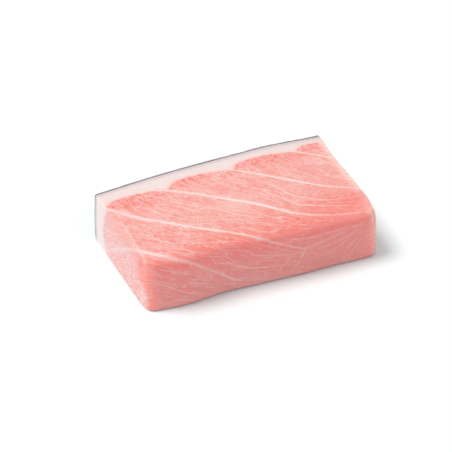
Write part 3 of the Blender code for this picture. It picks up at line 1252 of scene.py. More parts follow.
    def add_veins(self, tree: NodeTree, mm: Node, colour: Node) -> Node:
        """The veins that are laid one by one, from all their sets.

        Args:
            tree: The material's tree.
            mm: Place in millimetres.
            colour: The colour so far.

        Returns:
            The colour with the veins.
        """
        wander = add_node(tree, "ShaderNodeTexNoise",
                          {"Vector": mm, "Scale": self.vein_wander, "Detail": 3.0})
        shift = add_node(tree, "ShaderNodeMath", {0: wander, 1: 3.2, 2: -1.6}, operation="MULTIPLY_ADD")
        total: Node | float = 0.0
        for group in VEIN_GROUPS:
            side, show = (
                add_node(tree, "ShaderNodeSeparateXYZ", {0: add_node(
                    tree, "ShaderNodeAttribute", attribute_name=f"{name}_{group}").outputs["Vector"]})
                for name in ("vein_side", "vein_show")
            )
            for off, seen in zip(side.outputs, show.outputs):
                off = add_node(tree, "ShaderNodeMath", {0: off, 1: shift}, operation="ADD")
                off = add_node(tree, "ShaderNodeMath", {0: off}, operation="ABSOLUTE")
                line = add_node(tree, "ShaderNodeMapRange",
                                {"Value": off, "From Min": 0.1, "From Max": 1.6, "To Min": 1.0,
                                 "To Max": 0.0}, interpolation_type="SMOOTHSTEP")
                line = add_node(tree, "ShaderNodeMath", {0: line, 1: seen}, operation="MULTIPLY")
                total = add_node(tree, "ShaderNodeMath", {0: line, 1: total}, operation="MAXIMUM")
        broken = add_node(tree, "ShaderNodeTexNoise",
                          {"Vector": mm, "Scale": self.vein_breaks, "Detail": 3.0})
        broken = add_node(tree, "ShaderNodeMapRange",
                          {"Value": broken, "From Min": 0.38, "From Max": 0.6, "To Min": 1.0, "To Max": 0.6})
        total = add_node(tree, "ShaderNodeMath", {0: total, 1: broken}, operation="MULTIPLY")
        return add_node(tree, "ShaderNodeMix", {"Factor": total, "A": colour, "B": self.tissue},
                        data_type="RGBA")

    def add_sheets(self, tree: NodeTree, mm: Node, fibre: Node, colour: Node) -> Node:
        """The white sheets between the muscle segments, feathered where the fibres end in them.

        Args:
            tree: The material's tree.
            mm: Place in millimetres.
            fibre: Streaks along the muscle fibres.
            colour: The colour so far.

        Returns:
            The colour with the sheets.
        """
        count, pitch, width, strength = (
            add_node(tree, "ShaderNodeAttribute", attribute_name=name).outputs["Fac"]
            for name in SHEET_VALUES
        )
        wander = add_node(tree, "ShaderNodeTexNoise", {"Vector": mm, "Scale": self.sheet_wander,
                                                       "Detail": 4.0, "Roughness": 0.6})
        shift = add_node(tree, "ShaderNodeMath", {0: wander, 1: 1.8, 2: -0.9}, operation="MULTIPLY_ADD")
        shift = add_node(tree, "ShaderNodeMath", {0: shift, 1: pitch}, operation="DIVIDE")
        moved = add_node(tree, "ShaderNodeMath", {0: count, 1: shift}, operation="ADD")
        off = add_node(tree, "ShaderNodeMath", {0: moved, 1: 0.5}, operation="PINGPONG")
        off = add_node(tree, "ShaderNodeMath", {0: off, 1: pitch}, operation="MULTIPLY")
        feather = add_node(tree, "ShaderNodeMath", {0: fibre, 1: 0.9, 2: -0.45}, operation="MULTIPLY_ADD")
        off = add_node(tree, "ShaderNodeMath", {0: off, 1: feather}, operation="ADD")
        inner = add_node(tree, "ShaderNodeMath", {0: width, 1: 0.15}, operation="MULTIPLY")
        outer = add_node(tree, "ShaderNodeMath", {0: width, 1: 0.8}, operation="MULTIPLY")
        line = add_node(tree, "ShaderNodeMapRange",
                        {"Value": off, "From Min": inner, "From Max": outer, "To Min": 1.0, "To Max": 0.0},
                        interpolation_type="SMOOTHSTEP")
        patchy = add_node(tree, "ShaderNodeTexNoise",
                          {"Vector": mm, "Scale": self.sheet_breaks, "Detail": 3.0})
        patchy = add_node(tree, "ShaderNodeMapRange", {"Value": patchy, "From Min": 0.4, "From Max": 0.62,
                                                       "To Min": 1.0, "To Max": 0.78})
        for share in (strength, patchy):
            line = add_node(tree, "ShaderNodeMath", {0: line, 1: share}, operation="MULTIPLY")
        return add_node(tree, "ShaderNodeMix", {"Factor": line, "A": colour, "B": self.sheet},
                        data_type="RGBA")

    def add_fat_fringe(self, tree: NodeTree, mm: Node, colour: Node) -> Node:
        """The soft, uneven line where the flesh turns to fat.

        Args:
            tree: The material's tree.
            mm: Place in millimetres.
            colour: The colour so far.

        Returns:
            The colour with the fringe.
        """
        depth = add_node(tree, "ShaderNodeAttribute", attribute_name="fat_depth").outputs["Fac"]
        left = add_node(tree, "ShaderNodeAttribute", attribute_name="left_share").outputs["Fac"]
        reach = add_node(tree, "ShaderNodeMath", {0: left, 1: 2.4, 2: 1.1}, operation="MULTIPLY_ADD")
        ragged = add_node(tree, "ShaderNodeTexNoise",
                          {"Vector": mm, "Scale": self.fringe_wander, "Detail": 3.0})
        shift = add_node(tree, "ShaderNodeMath", {0: ragged, 1: 2.0, 2: -1.0}, operation="MULTIPLY_ADD")
        moved = add_node(tree, "ShaderNodeMath", {0: depth, 1: shift}, operation="ADD")
        fringe = add_node(tree, "ShaderNodeMapRange",
                          {"Value": moved, "From Min": 0.0, "From Max": reach, "To Min": 1.0, "To Max": 0.0},
                          interpolation_type="SMOOTHSTEP")
        return add_node(tree, "ShaderNodeMix", {"Factor": fringe, "A": colour, "B": self.fat},
                        data_type="RGBA")


@dataclass(frozen=True)
class BellyFat:
    """Firm white fat from under the skin: waxy, cream with a breath of pink, a little see-through."""

    cream: Colour = linear("E8DAD5")
    shade: Colour = linear("E5D7D4")
    blush: Colour = linear("EFCCC3")
    warm: Colour = linear("ECD5CC")
    # Painted light: the fat on the left end, which faces the lamp, made paler
    end_white_painted_light: Colour = linear("ECDEDC")
    by_skin: Colour = linear("CDBFC0")
    roughness: float = 0.38
    cloud_size: float = 9.0
    # How far the flesh's blush and the skin's grey reach into it
    blush_reach: float = 3.0
    blush_share: float = 0.9
    grey_reach: float = 6.0
    glow_radius: Span3 = (1.0, 0.75, 0.65)
    glow_scale: float = 1.2

    def material(self) -> Material:
        """Builds the material."""
        material, mm = start_material("tuna_belly_fat")
        tree = material.node_tree
        cloud = add_node(tree, "ShaderNodeTexNoise",
                         {"Vector": mm, "Scale": 1 / self.cloud_size, "Detail": 4.0, "Roughness": 0.6})
        cloudy = add_node(tree, "ShaderNodeMapRange", {"Value": cloud, "From Min": 0.3, "From Max": 0.7})
        colour = add_node(tree, "ShaderNodeMix", {"Factor": cloudy, "A": self.cream, "B": self.shade},
                          data_type="RGBA")
        flesh, skin, seam, end, warm = (
            add_node(tree, "ShaderNodeAttribute", attribute_name=name).outputs["Fac"]
            for name in ("flesh_depth", "skin_depth", "seam_depth", "end_painted_light_share", "warm_share")
        )
        rosy = add_node(tree, "ShaderNodeMapRange",
                        {"Value": flesh, "From Min": 0.0, "From Max": self.blush_reach,
                         "To Min": self.blush_share, "To Max": 0.0}, interpolation_type="SMOOTHSTEP")
        grey = add_node(tree, "ShaderNodeMapRange",
                        {"Value": skin, "From Min": 0.0, "From Max": self.grey_reach,
                         "To Min": 1.0, "To Max": 0.0}, interpolation_type="SMOOTHERSTEP")
        for share, other in ((rosy, self.blush), (end, self.end_white_painted_light), (warm, self.warm),
                             (grey, self.by_skin)):
            colour = add_node(tree, "ShaderNodeMix", {"Factor": share, "A": colour, "B": other},
                              data_type="RGBA")
        glow = add_node(tree, "ShaderNodeMapRange",
                        {"Value": seam, "From Min": 0.5, "From Max": 4.0, "To Min": 0.0, "To Max": 0.6},
                        interpolation_type="SMOOTHSTEP")
        fine = add_node(tree, "ShaderNodeTexNoise", {"Vector": mm, "Scale": 1.1, "Detail": 2.0})
        bump = add_node(tree, "ShaderNodeBump", {"Height": fine, "Strength": 0.08, "Distance": 0.3 * MM})
        rough = add_node(tree, "ShaderNodeMapRange",
                         {"Value": cloud, "To Min": self.roughness - 0.06, "To Max": self.roughness + 0.08})
        shader = add_node(tree, "ShaderNodeBsdfPrincipled", {
            "Base Color": colour, "Roughness": rough, "Normal": bump, "IOR": 1.45,
            "Specular IOR Level": 0.35, "Subsurface Weight": glow,
            "Subsurface Radius": self.glow_radius, "Subsurface Scale": self.glow_scale * MM,
        })
        add_node(tree, "ShaderNodeOutputMaterial", {"Surface": shader})
        return material


@dataclass(frozen=True)
class SilverSkin:
    """Tuna skin from low on the side: smooth, silver-grey, with fine scales that catch the light."""

    dark: Colour = linear("6C6067")
    silver: Colour = linear("A39AA1")
    inner: Colour = linear("675558")
    roughness: float = 0.34
    # The scales low on a tuna's side are about a millimetre wide, and are drawn at twice that
    scale_size: float = 2.0
    scale_height: float = 0.12

    def material(self) -> Material:
        """Builds the material."""
        material, mm = start_material("tuna_skin")
        tree = material.node_tree
        flat = add_node(tree, "ShaderNodeVectorMath", {0: mm, 1: (1.0, 0.2, 1.3)}, operation="MULTIPLY")
        scales = add_node(tree, "ShaderNodeTexVoronoi",
                          {"Vector": flat, "Scale": 1 / self.scale_size, "Randomness": 0.6}, feature="F1")
        cloud = add_node(tree, "ShaderNodeTexNoise", {"Vector": flat, "Scale": 0.05, "Detail": 1.0})
        sheen = add_node(tree, "ShaderNodeMath", {0: scales, 1: -0.3, 2: cloud}, operation="MULTIPLY_ADD")
        sheen = add_node(tree, "ShaderNodeMapRange", {"Value": sheen, "From Min": 0.05, "From Max": 0.65})
        colour = add_node(tree, "ShaderNodeMix", {"Factor": sheen, "A": self.dark, "B": self.silver},
                          data_type="RGBA")
        depth = add_node(tree, "ShaderNodeAttribute", attribute_name="skin_depth").outputs["Fac"]
        inside = add_node(tree, "ShaderNodeMapRange",
                          {"Value": depth, "From Min": 0.2, "From Max": 0.7})
        colour = add_node(tree, "ShaderNodeMix", {"Factor": inside, "A": colour, "B": self.inner},
                          data_type="RGBA")
        bump = add_node(tree, "ShaderNodeBump",
                        {"Height": scales, "Strength": 0.35, "Distance": self.scale_height * MM})
        shader = add_node(tree, "ShaderNodeBsdfPrincipled", {
            "Base Color": colour, "Roughness": self.roughness, "Metallic": 0.25, "Normal": bump,
            "IOR": 1.45, "Specular IOR Level": 0.5,
        })
        add_node(tree, "ShaderNodeOutputMaterial", {"Surface": shader})
        return material


@dataclass(frozen=True)
class CrispCorner:
    """A corner of the block that has kept a smaller rounding than the others."""

    place: Span3
    reach: float
    amount: float

    def share(self, points: Rows) -> Rows:
        """How much smaller the rounding is at each point, in millimetres."""
        off = ((points - np.array(self.place)) ** 2).sum(1) / self.reach**2
        return self.amount * np.exp(-off)


@dataclass
class BellyBlank:
    """The whole block as one closed body, before the knife parts its layers."""

    # A layer's points that lie closer than this become one
    weld: float = 0.001
    # The layers swell by the overlap to close the gaps between them, and the whole shrinks after it
    overlap: float = 0.2
    shrink: float = 0.05
    voxel: float = 0.65
    smoothing: int = 3
    # How much smaller the edges' rounding gets: every edge, and the front's two unlike ones
    crisper: float = 0.55
    front_crisper: float = 2.2
    left_softer: float = 0.6
    # The right end's two upper corners are the crispest
    corners: tuple[CrispCorner, ...] = (
        CrispCorner((72.0, -37.0, 31.0), 10.0, 0.8), CrispCorner((76.0, 38.0, 36.0), 7.0, 1.6),
    )
    # The waves of the whole, the torn edges, which are worst at the right end, the ridges over the
    # sheets, and the ripple of the cut faces
    wave_height: float = 0.3
    wave_length: float = 15.0
    tear_height: float = 0.2
    tear_size: float = 3.2
    right_ragged: float = 2.6
    ridge_height: float = 0.09
    ripple_height: float = 0.05
    ripple_stretch: Span3 = (0.12, 0.7, 0.7)
    seed: float = 4.0

    def closed_up(self) -> Object:
        """Joins copies of the three layers, swells them over the gaps and skins them over.

        Returns:
            The blank's object.
        """
        whole = bmesh.new()
        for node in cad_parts.values():
            layer = bmesh.new()
            layer.from_mesh(node.data)
            bmesh.ops.remove_doubles(layer, verts=layer.verts, dist=self.weld * MM)
            layer.normal_update()
            moves = [vertex.normal * self.overlap * MM for vertex in layer.verts]
            for vertex, move in zip(layer.verts, moves):
                vertex.co += move
            part = bpy.data.meshes.new("layer_copy")
            layer.to_mesh(part)
            layer.free()
            whole.from_mesh(part)
            bpy.data.meshes.remove(part)
        mesh = bpy.data.meshes.new("belly_blank")
        whole.to_mesh(mesh)
        whole.free()
        blank = scratch_object("belly_blank", mesh)
        remesh = blank.modifiers.new("skin_over", "REMESH")
        remesh.mode = "VOXEL"
        remesh.voxel_size = self.voxel * MM
        settle(blank)
        shrunk = points_of(blank.data) - normals_of(blank.data) * self.shrink
        blank.data.vertices.foreach_set("co", (shrunk * MM).astype(np.float32).ravel())
        blank.data.update()
        return blank

    def edge_push(self, mesh: Mesh, points: Rows, normals: Rows) -> Rows:
        """How far to move each point out to take its edge's rounding to a smaller radius.

        A round that meets two square faces lies inside one with a radius that is smaller by d.
        At a normal whose two parts are a and b the distance is d * (a + b - 1).

        Args:
            mesh: The blank.
            points: Its points in millimetres.
            normals: The outward direction at each of them.

        Returns:
            The distance in millimetres.
        """
        every = self.crisper * (np.abs(normals).sum(1) - 1)
        left, front, top = np.clip(normals * (-1, -1, 1), 0, 1).T
        front_top = np.clip(top + front - 1, 0, 1) * s_curve(np.abs(normals[:, 0]), 0.6, 0.3)
        front_left = np.clip(left + front - 1, 0, 1) * s_curve(np.abs(normals[:, 2]), 0.6, 0.3)
        total = every + self.front_crisper * front_top - self.left_softer * front_left
        for corner in self.corners:
            total += corner.share(points) * (np.abs(normals).sum(1) - 1)
        return blurred(mesh, total, 2)

    def relief_tree(self, material: Material) -> GeometryNodeTree:
        """Geometry nodes that give the blank the relief of cut fish.

        Args:
            material: The material that the result gets.

        Returns:
            The tree, whose inputs are the sizes of the relief.
        """
        tree = start_geometry_tree("cut_fish_relief", self.inputs())
        given = add_node(tree, "NodeGroupInput").outputs
        position = add_node(tree, "GeometryNodeInputPosition")
        even = add_node(tree, "GeometryNodeBlurAttribute",
                        {"Value": position, "Iterations": self.smoothing}, data_type="FLOAT_VECTOR")
        smooth = add_node(tree, "GeometryNodeSetPosition", {"Geometry": given["Geometry"], "Position": even})
        wave = self.noise_height(tree, position, given["Wave length"], given["Wave height"], given["Seed"])
        tear = self.noise_height(tree, position, given["Tear size"], given["Tear height"], given["Seed"])
        edge, push, free = (
            add_node(tree, "GeometryNodeInputNamedAttribute", {"Name": name}, data_type="FLOAT")
            for name in ("edge_share", "edge_push", "off_floor")
        )
        tear = add_node(tree, "ShaderNodeMath", {0: tear, 1: edge}, operation="MULTIPLY")
        ridge = self.sheet_ridge(tree, given["Ridge height"])
        grain = add_node(tree, "GeometryNodeInputNamedAttribute", {"Name": "grain"},
                         data_type="FLOAT_VECTOR")
        ripple = add_node(tree, "ShaderNodeVectorMath", {0: grain, 1: self.ripple_stretch},
                          operation="MULTIPLY")
        ripple = add_node(tree, "ShaderNodeTexNoise", {"Vector": ripple, "Scale": 1.0, "Detail": 2.0})
        ripple = add_node(tree, "ShaderNodeMath", {0: ripple, 1: 0.5}, operation="SUBTRACT")
        ripple = add_node(tree, "ShaderNodeMath", {0: ripple, 1: given["Ripple height"]},
                          operation="MULTIPLY")
        height: Node = wave
        for more in (tear, ridge, ripple, push):
            height = add_node(tree, "ShaderNodeMath", {0: height, 1: more}, operation="ADD")
        height = add_node(tree, "ShaderNodeMath", {0: height, 1: free}, operation="MULTIPLY")
        normal = add_node(tree, "GeometryNodeInputNormal")
        offset = add_node(tree, "ShaderNodeVectorMath", {0: normal, "Scale": height}, operation="SCALE")
        shaped = add_node(tree, "GeometryNodeSetPosition", {"Geometry": smooth, "Offset": offset})
        real = add_node(tree, "GeometryNodeRealizeInstances", {"Geometry": shaped})
        done = add_node(tree, "GeometryNodeSetMaterial", {"Geometry": real, "Material": material})
        add_node(tree, "NodeGroupOutput", {"Geometry": done})
        return tree

    def inputs(self) -> dict[str, float]:
        """The tree's inputs by name, with heights and lengths in metres."""
        return {
            "Wave height": self.wave_height * MM, "Wave length": self.wave_length * MM,
            "Tear height": self.tear_height * MM, "Tear size": self.tear_size * MM,
            "Ridge height": self.ridge_height * MM, "Ripple height": self.ripple_height * MM,
            "Seed": self.seed,
        }

    def noise_height(
        self, tree: NodeTree, position: Node, size: NodeSocket,
        height: NodeSocket, seed: NodeSocket,
    ) -> Node:
        """Uneven ground of one size and height, up and down alike.

        Args:
            tree: The geometry tree.
            position: Where each point is.
            size: How wide the bumps are.
            height: How high and deep they are.
            seed: Which bumps they are.

        Returns:
            The node that gives the height.
        """
        fine = add_node(tree, "ShaderNodeMath", {0: 1.0, 1: size}, operation="DIVIDE")
        bumps = add_node(tree, "ShaderNodeTexNoise", {"Vector": position, "W": seed, "Scale": fine,
                                                      "Detail": 2.0}, noise_dimensions="4D")
        around = add_node(tree, "ShaderNodeMath", {0: bumps, 1: 2.0, 2: -1.0}, operation="MULTIPLY_ADD")
        return add_node(tree, "ShaderNodeMath", {0: around, 1: height}, operation="MULTIPLY")

    def sheet_ridge(self, tree: NodeTree, height: NodeSocket) -> Node:
        """The tough sheets stand a little proud of the soft flesh.

        Args:
            tree: The geometry tree.
            height: How proud they stand.

        Returns:
            The node that gives the height.
        """
        count, pitch, width, strength = (
            add_node(tree, "GeometryNodeInputNamedAttribute", {"Name": name}, data_type="FLOAT")
            for name in SHEET_VALUES
        )
        off = add_node(tree, "ShaderNodeMath", {0: count, 1: 0.5}, operation="PINGPONG")
        off = add_node(tree, "ShaderNodeMath", {0: off, 1: pitch}, operation="MULTIPLY")
        line = add_node(tree, "ShaderNodeMapRange",
                        {"Value": off, "From Min": 0.0, "From Max": width, "To Min": 1.0, "To Max": 0.0},
                        interpolation_type="SMOOTHSTEP")
        line = add_node(tree, "ShaderNodeMath", {0: line, 1: strength}, operation="MULTIPLY")
        return add_node(tree, "ShaderNodeMath", {0: line, 1: height}, operation="MULTIPLY")

    def shape(self, blank: Object, material: Material) -> None:
        """Gives the blank its relief.

        Args:
            blank: The closed blank with the marbling's values on it.
            material: The material that the result gets.
        """
        mesh = blank.data
        points, normals = points_of(mesh), normals_of(mesh)
        flatness = blurred(mesh, np.abs(normals).max(1), 3)
        behind = s_curve(points[:, 1], -36.0, -26.0) * s_curve(points[:, 1], 36.0, 31.0)
        ragged = 1 + self.right_ragged * s_curve(points[:, 0], 58.0, 70.0) * behind
        store(mesh, "edge_share", s_curve(flatness, 0.995, 0.9) * ragged)
        store(mesh, "off_floor", s_curve(points[:, 2], 0.2, 2.5))
        store(mesh, "edge_push", self.edge_push(mesh, points, normals) * MM)
        run_tree(blank, self.relief_tree(material), self.inputs())


@dataclass
class LayerKnife:
    """The uneven surface along which one layer leaves the next, as a solid past the skin."""

    name: str
    node: str
    advance: float
    raggedness: float
    step_x: float = 0.8
    step_z: float = 1.0
    reach_x: float = 82.0
    low_z: float = -4.0
    high_z: float = 44.0
    far_y: float = 70.0
    # A layer is read this far inside its ends and above its foot, and steps of more are no part of it
    inset: float = 1.6
    largest_step: float = 2.2
    even_rounds: int = 2

    def heights(self, surface: BlockSurface) -> tuple[Rows, Rows, Rows]:
        """Reads the layer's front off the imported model, as Y over a grid of X and Z.

        Args:
            surface: The layer's surface.

        Returns:
            The grid's X values, its Z values, and Y with a row for each X.
        """
        low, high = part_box(self.node)
        xs = np.arange(-self.reach_x, self.reach_x + self.step_x, self.step_x)
        zs = np.arange(self.low_z, self.high_z + self.step_z, self.step_z)
        grid = np.zeros((len(xs), len(zs)))
        for i, x in enumerate(xs):
            held_x = min(max(x, low.x / MM + self.inset), high.x / MM - self.inset)
            last = high.y / MM
            for j, z in enumerate(zs):
                held_z = max(z, low.z / MM + self.inset)
                place = surface.hit(Vector((held_x * MM, -1.0, held_z * MM)), Vector((0, 1, 0)))
                behind = None if place is None else place.y / MM
                if behind is not None and (j == 0 or abs(behind - last) < self.largest_step):
                    last = behind
                grid[i, j] = last
        return xs, zs, grid

    def evened(self, row: Rows) -> Rows:
        """Takes the mean of each value and its two neighbours, with the value counted twice."""
        return np.convolve(np.pad(row, 1, "edge"), (0.25, 0.5, 0.25), "valid")

    def wiggle(self, x: float, z: float) -> float:
        """How the cut wavers at one place, from -1 to 1."""
        return 0.6 * math.sin(1.9 * x + 0.8 * z) + 0.4 * math.sin(0.83 * x - 1.3 * z + 1.0)

    def solid(self, surface: BlockSurface) -> Object:
        """Builds the knife's solid.

        Args:
            surface: The layer's surface.

        Returns:
            The closed solid, hidden from the render.
        """
        xs, zs, grid = self.heights(surface)
        for _ in range(self.even_rounds):
            for axis in (0, 1):
                grid = np.apply_along_axis(self.evened, axis, grid)
        bm = bmesh.new()
        rows = []
        for i, x in enumerate(xs):
            row = []
            for j, z in enumerate(zs):
                y = grid[i, j] - self.advance + self.raggedness * self.wiggle(x, z)
                row.append(bm.verts.new((x * MM, y * MM, z * MM)))
            rows.append(row)
        for one, other in zip(rows, rows[1:]):
            for a, b, c, d in zip(one, other, other[1:], one[1:]):
                bm.faces.new((a, b, c, d))
        extruded = bmesh.ops.extrude_face_region(bm, geom=bm.faces[:] + bm.edges[:] + bm.verts[:])
        for vertex in (g for g in extruded["geom"] if isinstance(g, bmesh.types.BMVert)):
            vertex.co.y = self.far_y * MM
        bmesh.ops.recalc_face_normals(bm, faces=bm.faces[:])
        mesh = bpy.data.meshes.new(self.name)
        bm.to_mesh(mesh)
        bm.free()
        knife = scratch_object(self.name, mesh)
        knife.hide_render = True
        return knife


class Cut(Enum):
    """What is left of a body after the knife."""

    KEEP_FRONT = "DIFFERENCE"
    KEEP_BACK = "INTERSECT"


def cut(body: Object, name: str, steps: list[tuple[Object, Cut]]) -> Object:
    """Cuts a copy of a body with one or more knives.

    Args:
        body: The closed body, which stays as it is.
        name: The new piece's name.
        steps: Each knife, with the side of it that is kept.

    Returns:
        The piece.
    """
    piece = scratch_object(name, body.data.copy())
    for knife, side in steps:
        boolean = piece.modifiers.new(knife.name, "BOOLEAN")
        boolean.object = knife
        boolean.operation = side.value
        boolean.solver = "MANIFOLD"
    settle(piece)
    return piece


def finish_piece(piece: Object, material: Material, node: str | None = None) -> None:
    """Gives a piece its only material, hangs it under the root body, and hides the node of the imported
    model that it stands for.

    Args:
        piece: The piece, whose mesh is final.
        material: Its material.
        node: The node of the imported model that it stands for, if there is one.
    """
    piece.data.name = piece.name
    piece.data.materials.clear()
    piece.data.materials.append(material)
    piece.data.polygons.foreach_set("material_index", np.zeros(len(piece.data.polygons), np.int32))
    piece.data.shade_smooth()
    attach(piece, "root")
    if node is not None:
        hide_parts(node)
    LOG.info("%s: %d points, %d faces", piece.name, len(piece.data.vertices), len(piece.data.polygons))


@dataclass
class FatCrumbs:
    """Crumbs of fat that the knife has left: a row along the left end's top edge, and a few loose ones,
    which also stand in for small wet glints on the top as painted highlights.
    """

    line: tuple[Point, ...] = LEFT_EDGE
    in_row: int = 46
    row_spread: float = 0.65
    # Loose crumbs on the top: partly crumbs of fat, partly bright dots that are painted highlights of the
    # wet surface
    loose: int = 46
    loose_low: Point = (-70.0, -39.0)
    loose_high: Point = (15.0, 20.0)
    smallest: float = 0.2
    largest: float = 0.54
    sink: float = 0.1
    # How long, wide and high a crumb is for its size, and how bumpy
    squash: Span3 = (1.25, 0.9, 0.7)
    bump_height: float = 0.3
    bumps_to_mm: float = 1.6
    seed: int = 11

    def places(self, surface: BlockSurface) -> Rows:
        """Strews the crumbs over the block's top.

        Args:
            surface: The flesh's own surface.

        Returns:
            Rows of places in millimetres.
        """
        rng = np.random.default_rng(self.seed)
        path = through(self.line, 0.5)
        row = path[rng.integers(len(path), size=self.in_row)]
        row = row + rng.normal(0, self.row_spread, row.shape)
        loose = rng.uniform(self.loose_low, self.loose_high, (self.loose, 2))
        return surface.lift(Face.TOP, np.vstack([row, loose]))

    def inputs(self) -> dict[str, float]:
        """The tree's inputs by name, with sizes in metres."""
        return {"Smallest": self.smallest * MM, "Largest": self.largest * MM, "Seed": self.seed}

    def crumb_tree(self, material: Material) -> GeometryNodeTree:
        """Geometry nodes that put an uneven crumb on every point.

        Args:
            material: The crumbs' material.

        Returns:
            The tree, whose inputs are the crumbs' smallest and largest size and a seed.
        """
        tree = start_geometry_tree("fat_crumb_scatter", self.inputs())
        given = add_node(tree, "NodeGroupInput").outputs
        ball = add_node(tree, "GeometryNodeMeshIcoSphere", {"Radius": 1.0, "Subdivisions": 2})
        turn = add_node(tree, "FunctionNodeRandomValue",
                        {"Min": (0.0, 0.0, 0.0), "Max": (math.tau,) * 3, "Seed": given["Seed"]},
                        data_type="FLOAT_VECTOR")
        size = add_node(tree, "FunctionNodeRandomValue",
                        {"Min": given["Smallest"], "Max": given["Largest"], "Seed": given["Seed"]},
                        data_type="FLOAT")
        squash = add_node(tree, "ShaderNodeVectorMath", {0: self.squash, "Scale": size},
                          operation="SCALE")
        strewn = add_node(tree, "GeometryNodeInstanceOnPoints",
                          {"Points": given["Geometry"], "Instance": ball, "Rotation": turn,
                           "Scale": squash})
        real = add_node(tree, "GeometryNodeRealizeInstances", {"Geometry": strewn})
        normal = add_node(tree, "GeometryNodeInputNormal")
        position = add_node(tree, "GeometryNodeInputPosition")
        bumps = add_node(tree, "ShaderNodeTexNoise",
                         {"Vector": position, "Scale": self.bumps_to_mm / MM, "Detail": 1.0})
        bumps = add_node(tree, "ShaderNodeMath",
                         {0: bumps, 1: self.bump_height * MM, 2: -self.bump_height * MM / 2},
                         operation="MULTIPLY_ADD")
        uneven = add_node(tree, "ShaderNodeVectorMath", {0: normal, "Scale": bumps}, operation="SCALE")
        shaped = add_node(tree, "GeometryNodeSetPosition", {"Geometry": real, "Offset": uneven})
        done = add_node(tree, "GeometryNodeSetMaterial", {"Geometry": shaped, "Material": material})
        add_node(tree, "NodeGroupOutput", {"Geometry": done})
        return tree

    def build(self, surface: BlockSurface, material: Material) -> None:
        """Builds the crumbs on the finished flesh.

        Args:
            surface: The flesh's own surface.
            material: The crumbs' material.
        """
        places = self.places(surface) - np.array((0, 0, self.sink))
        mesh = bpy.data.meshes.new("crumb_places")
        mesh.from_pydata((places * MM).tolist(), [], [])
        crumbs = scratch_object("fat_crumbs", mesh)
        run_tree(crumbs, self.crumb_tree(material), self.inputs())
        finish_piece(crumbs, material)


@dataclass(frozen=True)
class CrumbFat:
    """Crumbs of warm belly fat: moist and bright, too small for light to be lost inside them."""

    cream: Colour = linear("F6E3D6")
    blush: Colour = linear("F4CFC3")
    roughness: float = 0.4

    def material(self) -> Material:
        """Builds the material."""
        material, mm = start_material("tuna_fat_crumbs")
        tree = material.node_tree
        cloud = add_node(tree, "ShaderNodeTexNoise", {"Vector": mm, "Scale": 0.5, "Detail": 2.0})
        colour = add_node(tree, "ShaderNodeMix",
                          {"Factor": cloud, "A": self.cream, "B": self.blush}, data_type="RGBA")
        shader = add_node(tree, "ShaderNodeBsdfPrincipled", {
            "Base Color": colour, "Roughness": self.roughness, "IOR": 1.45, "Specular IOR Level": 0.35,
        })
        add_node(tree, "ShaderNodeOutputMaterial", {"Surface": shader})
        return material


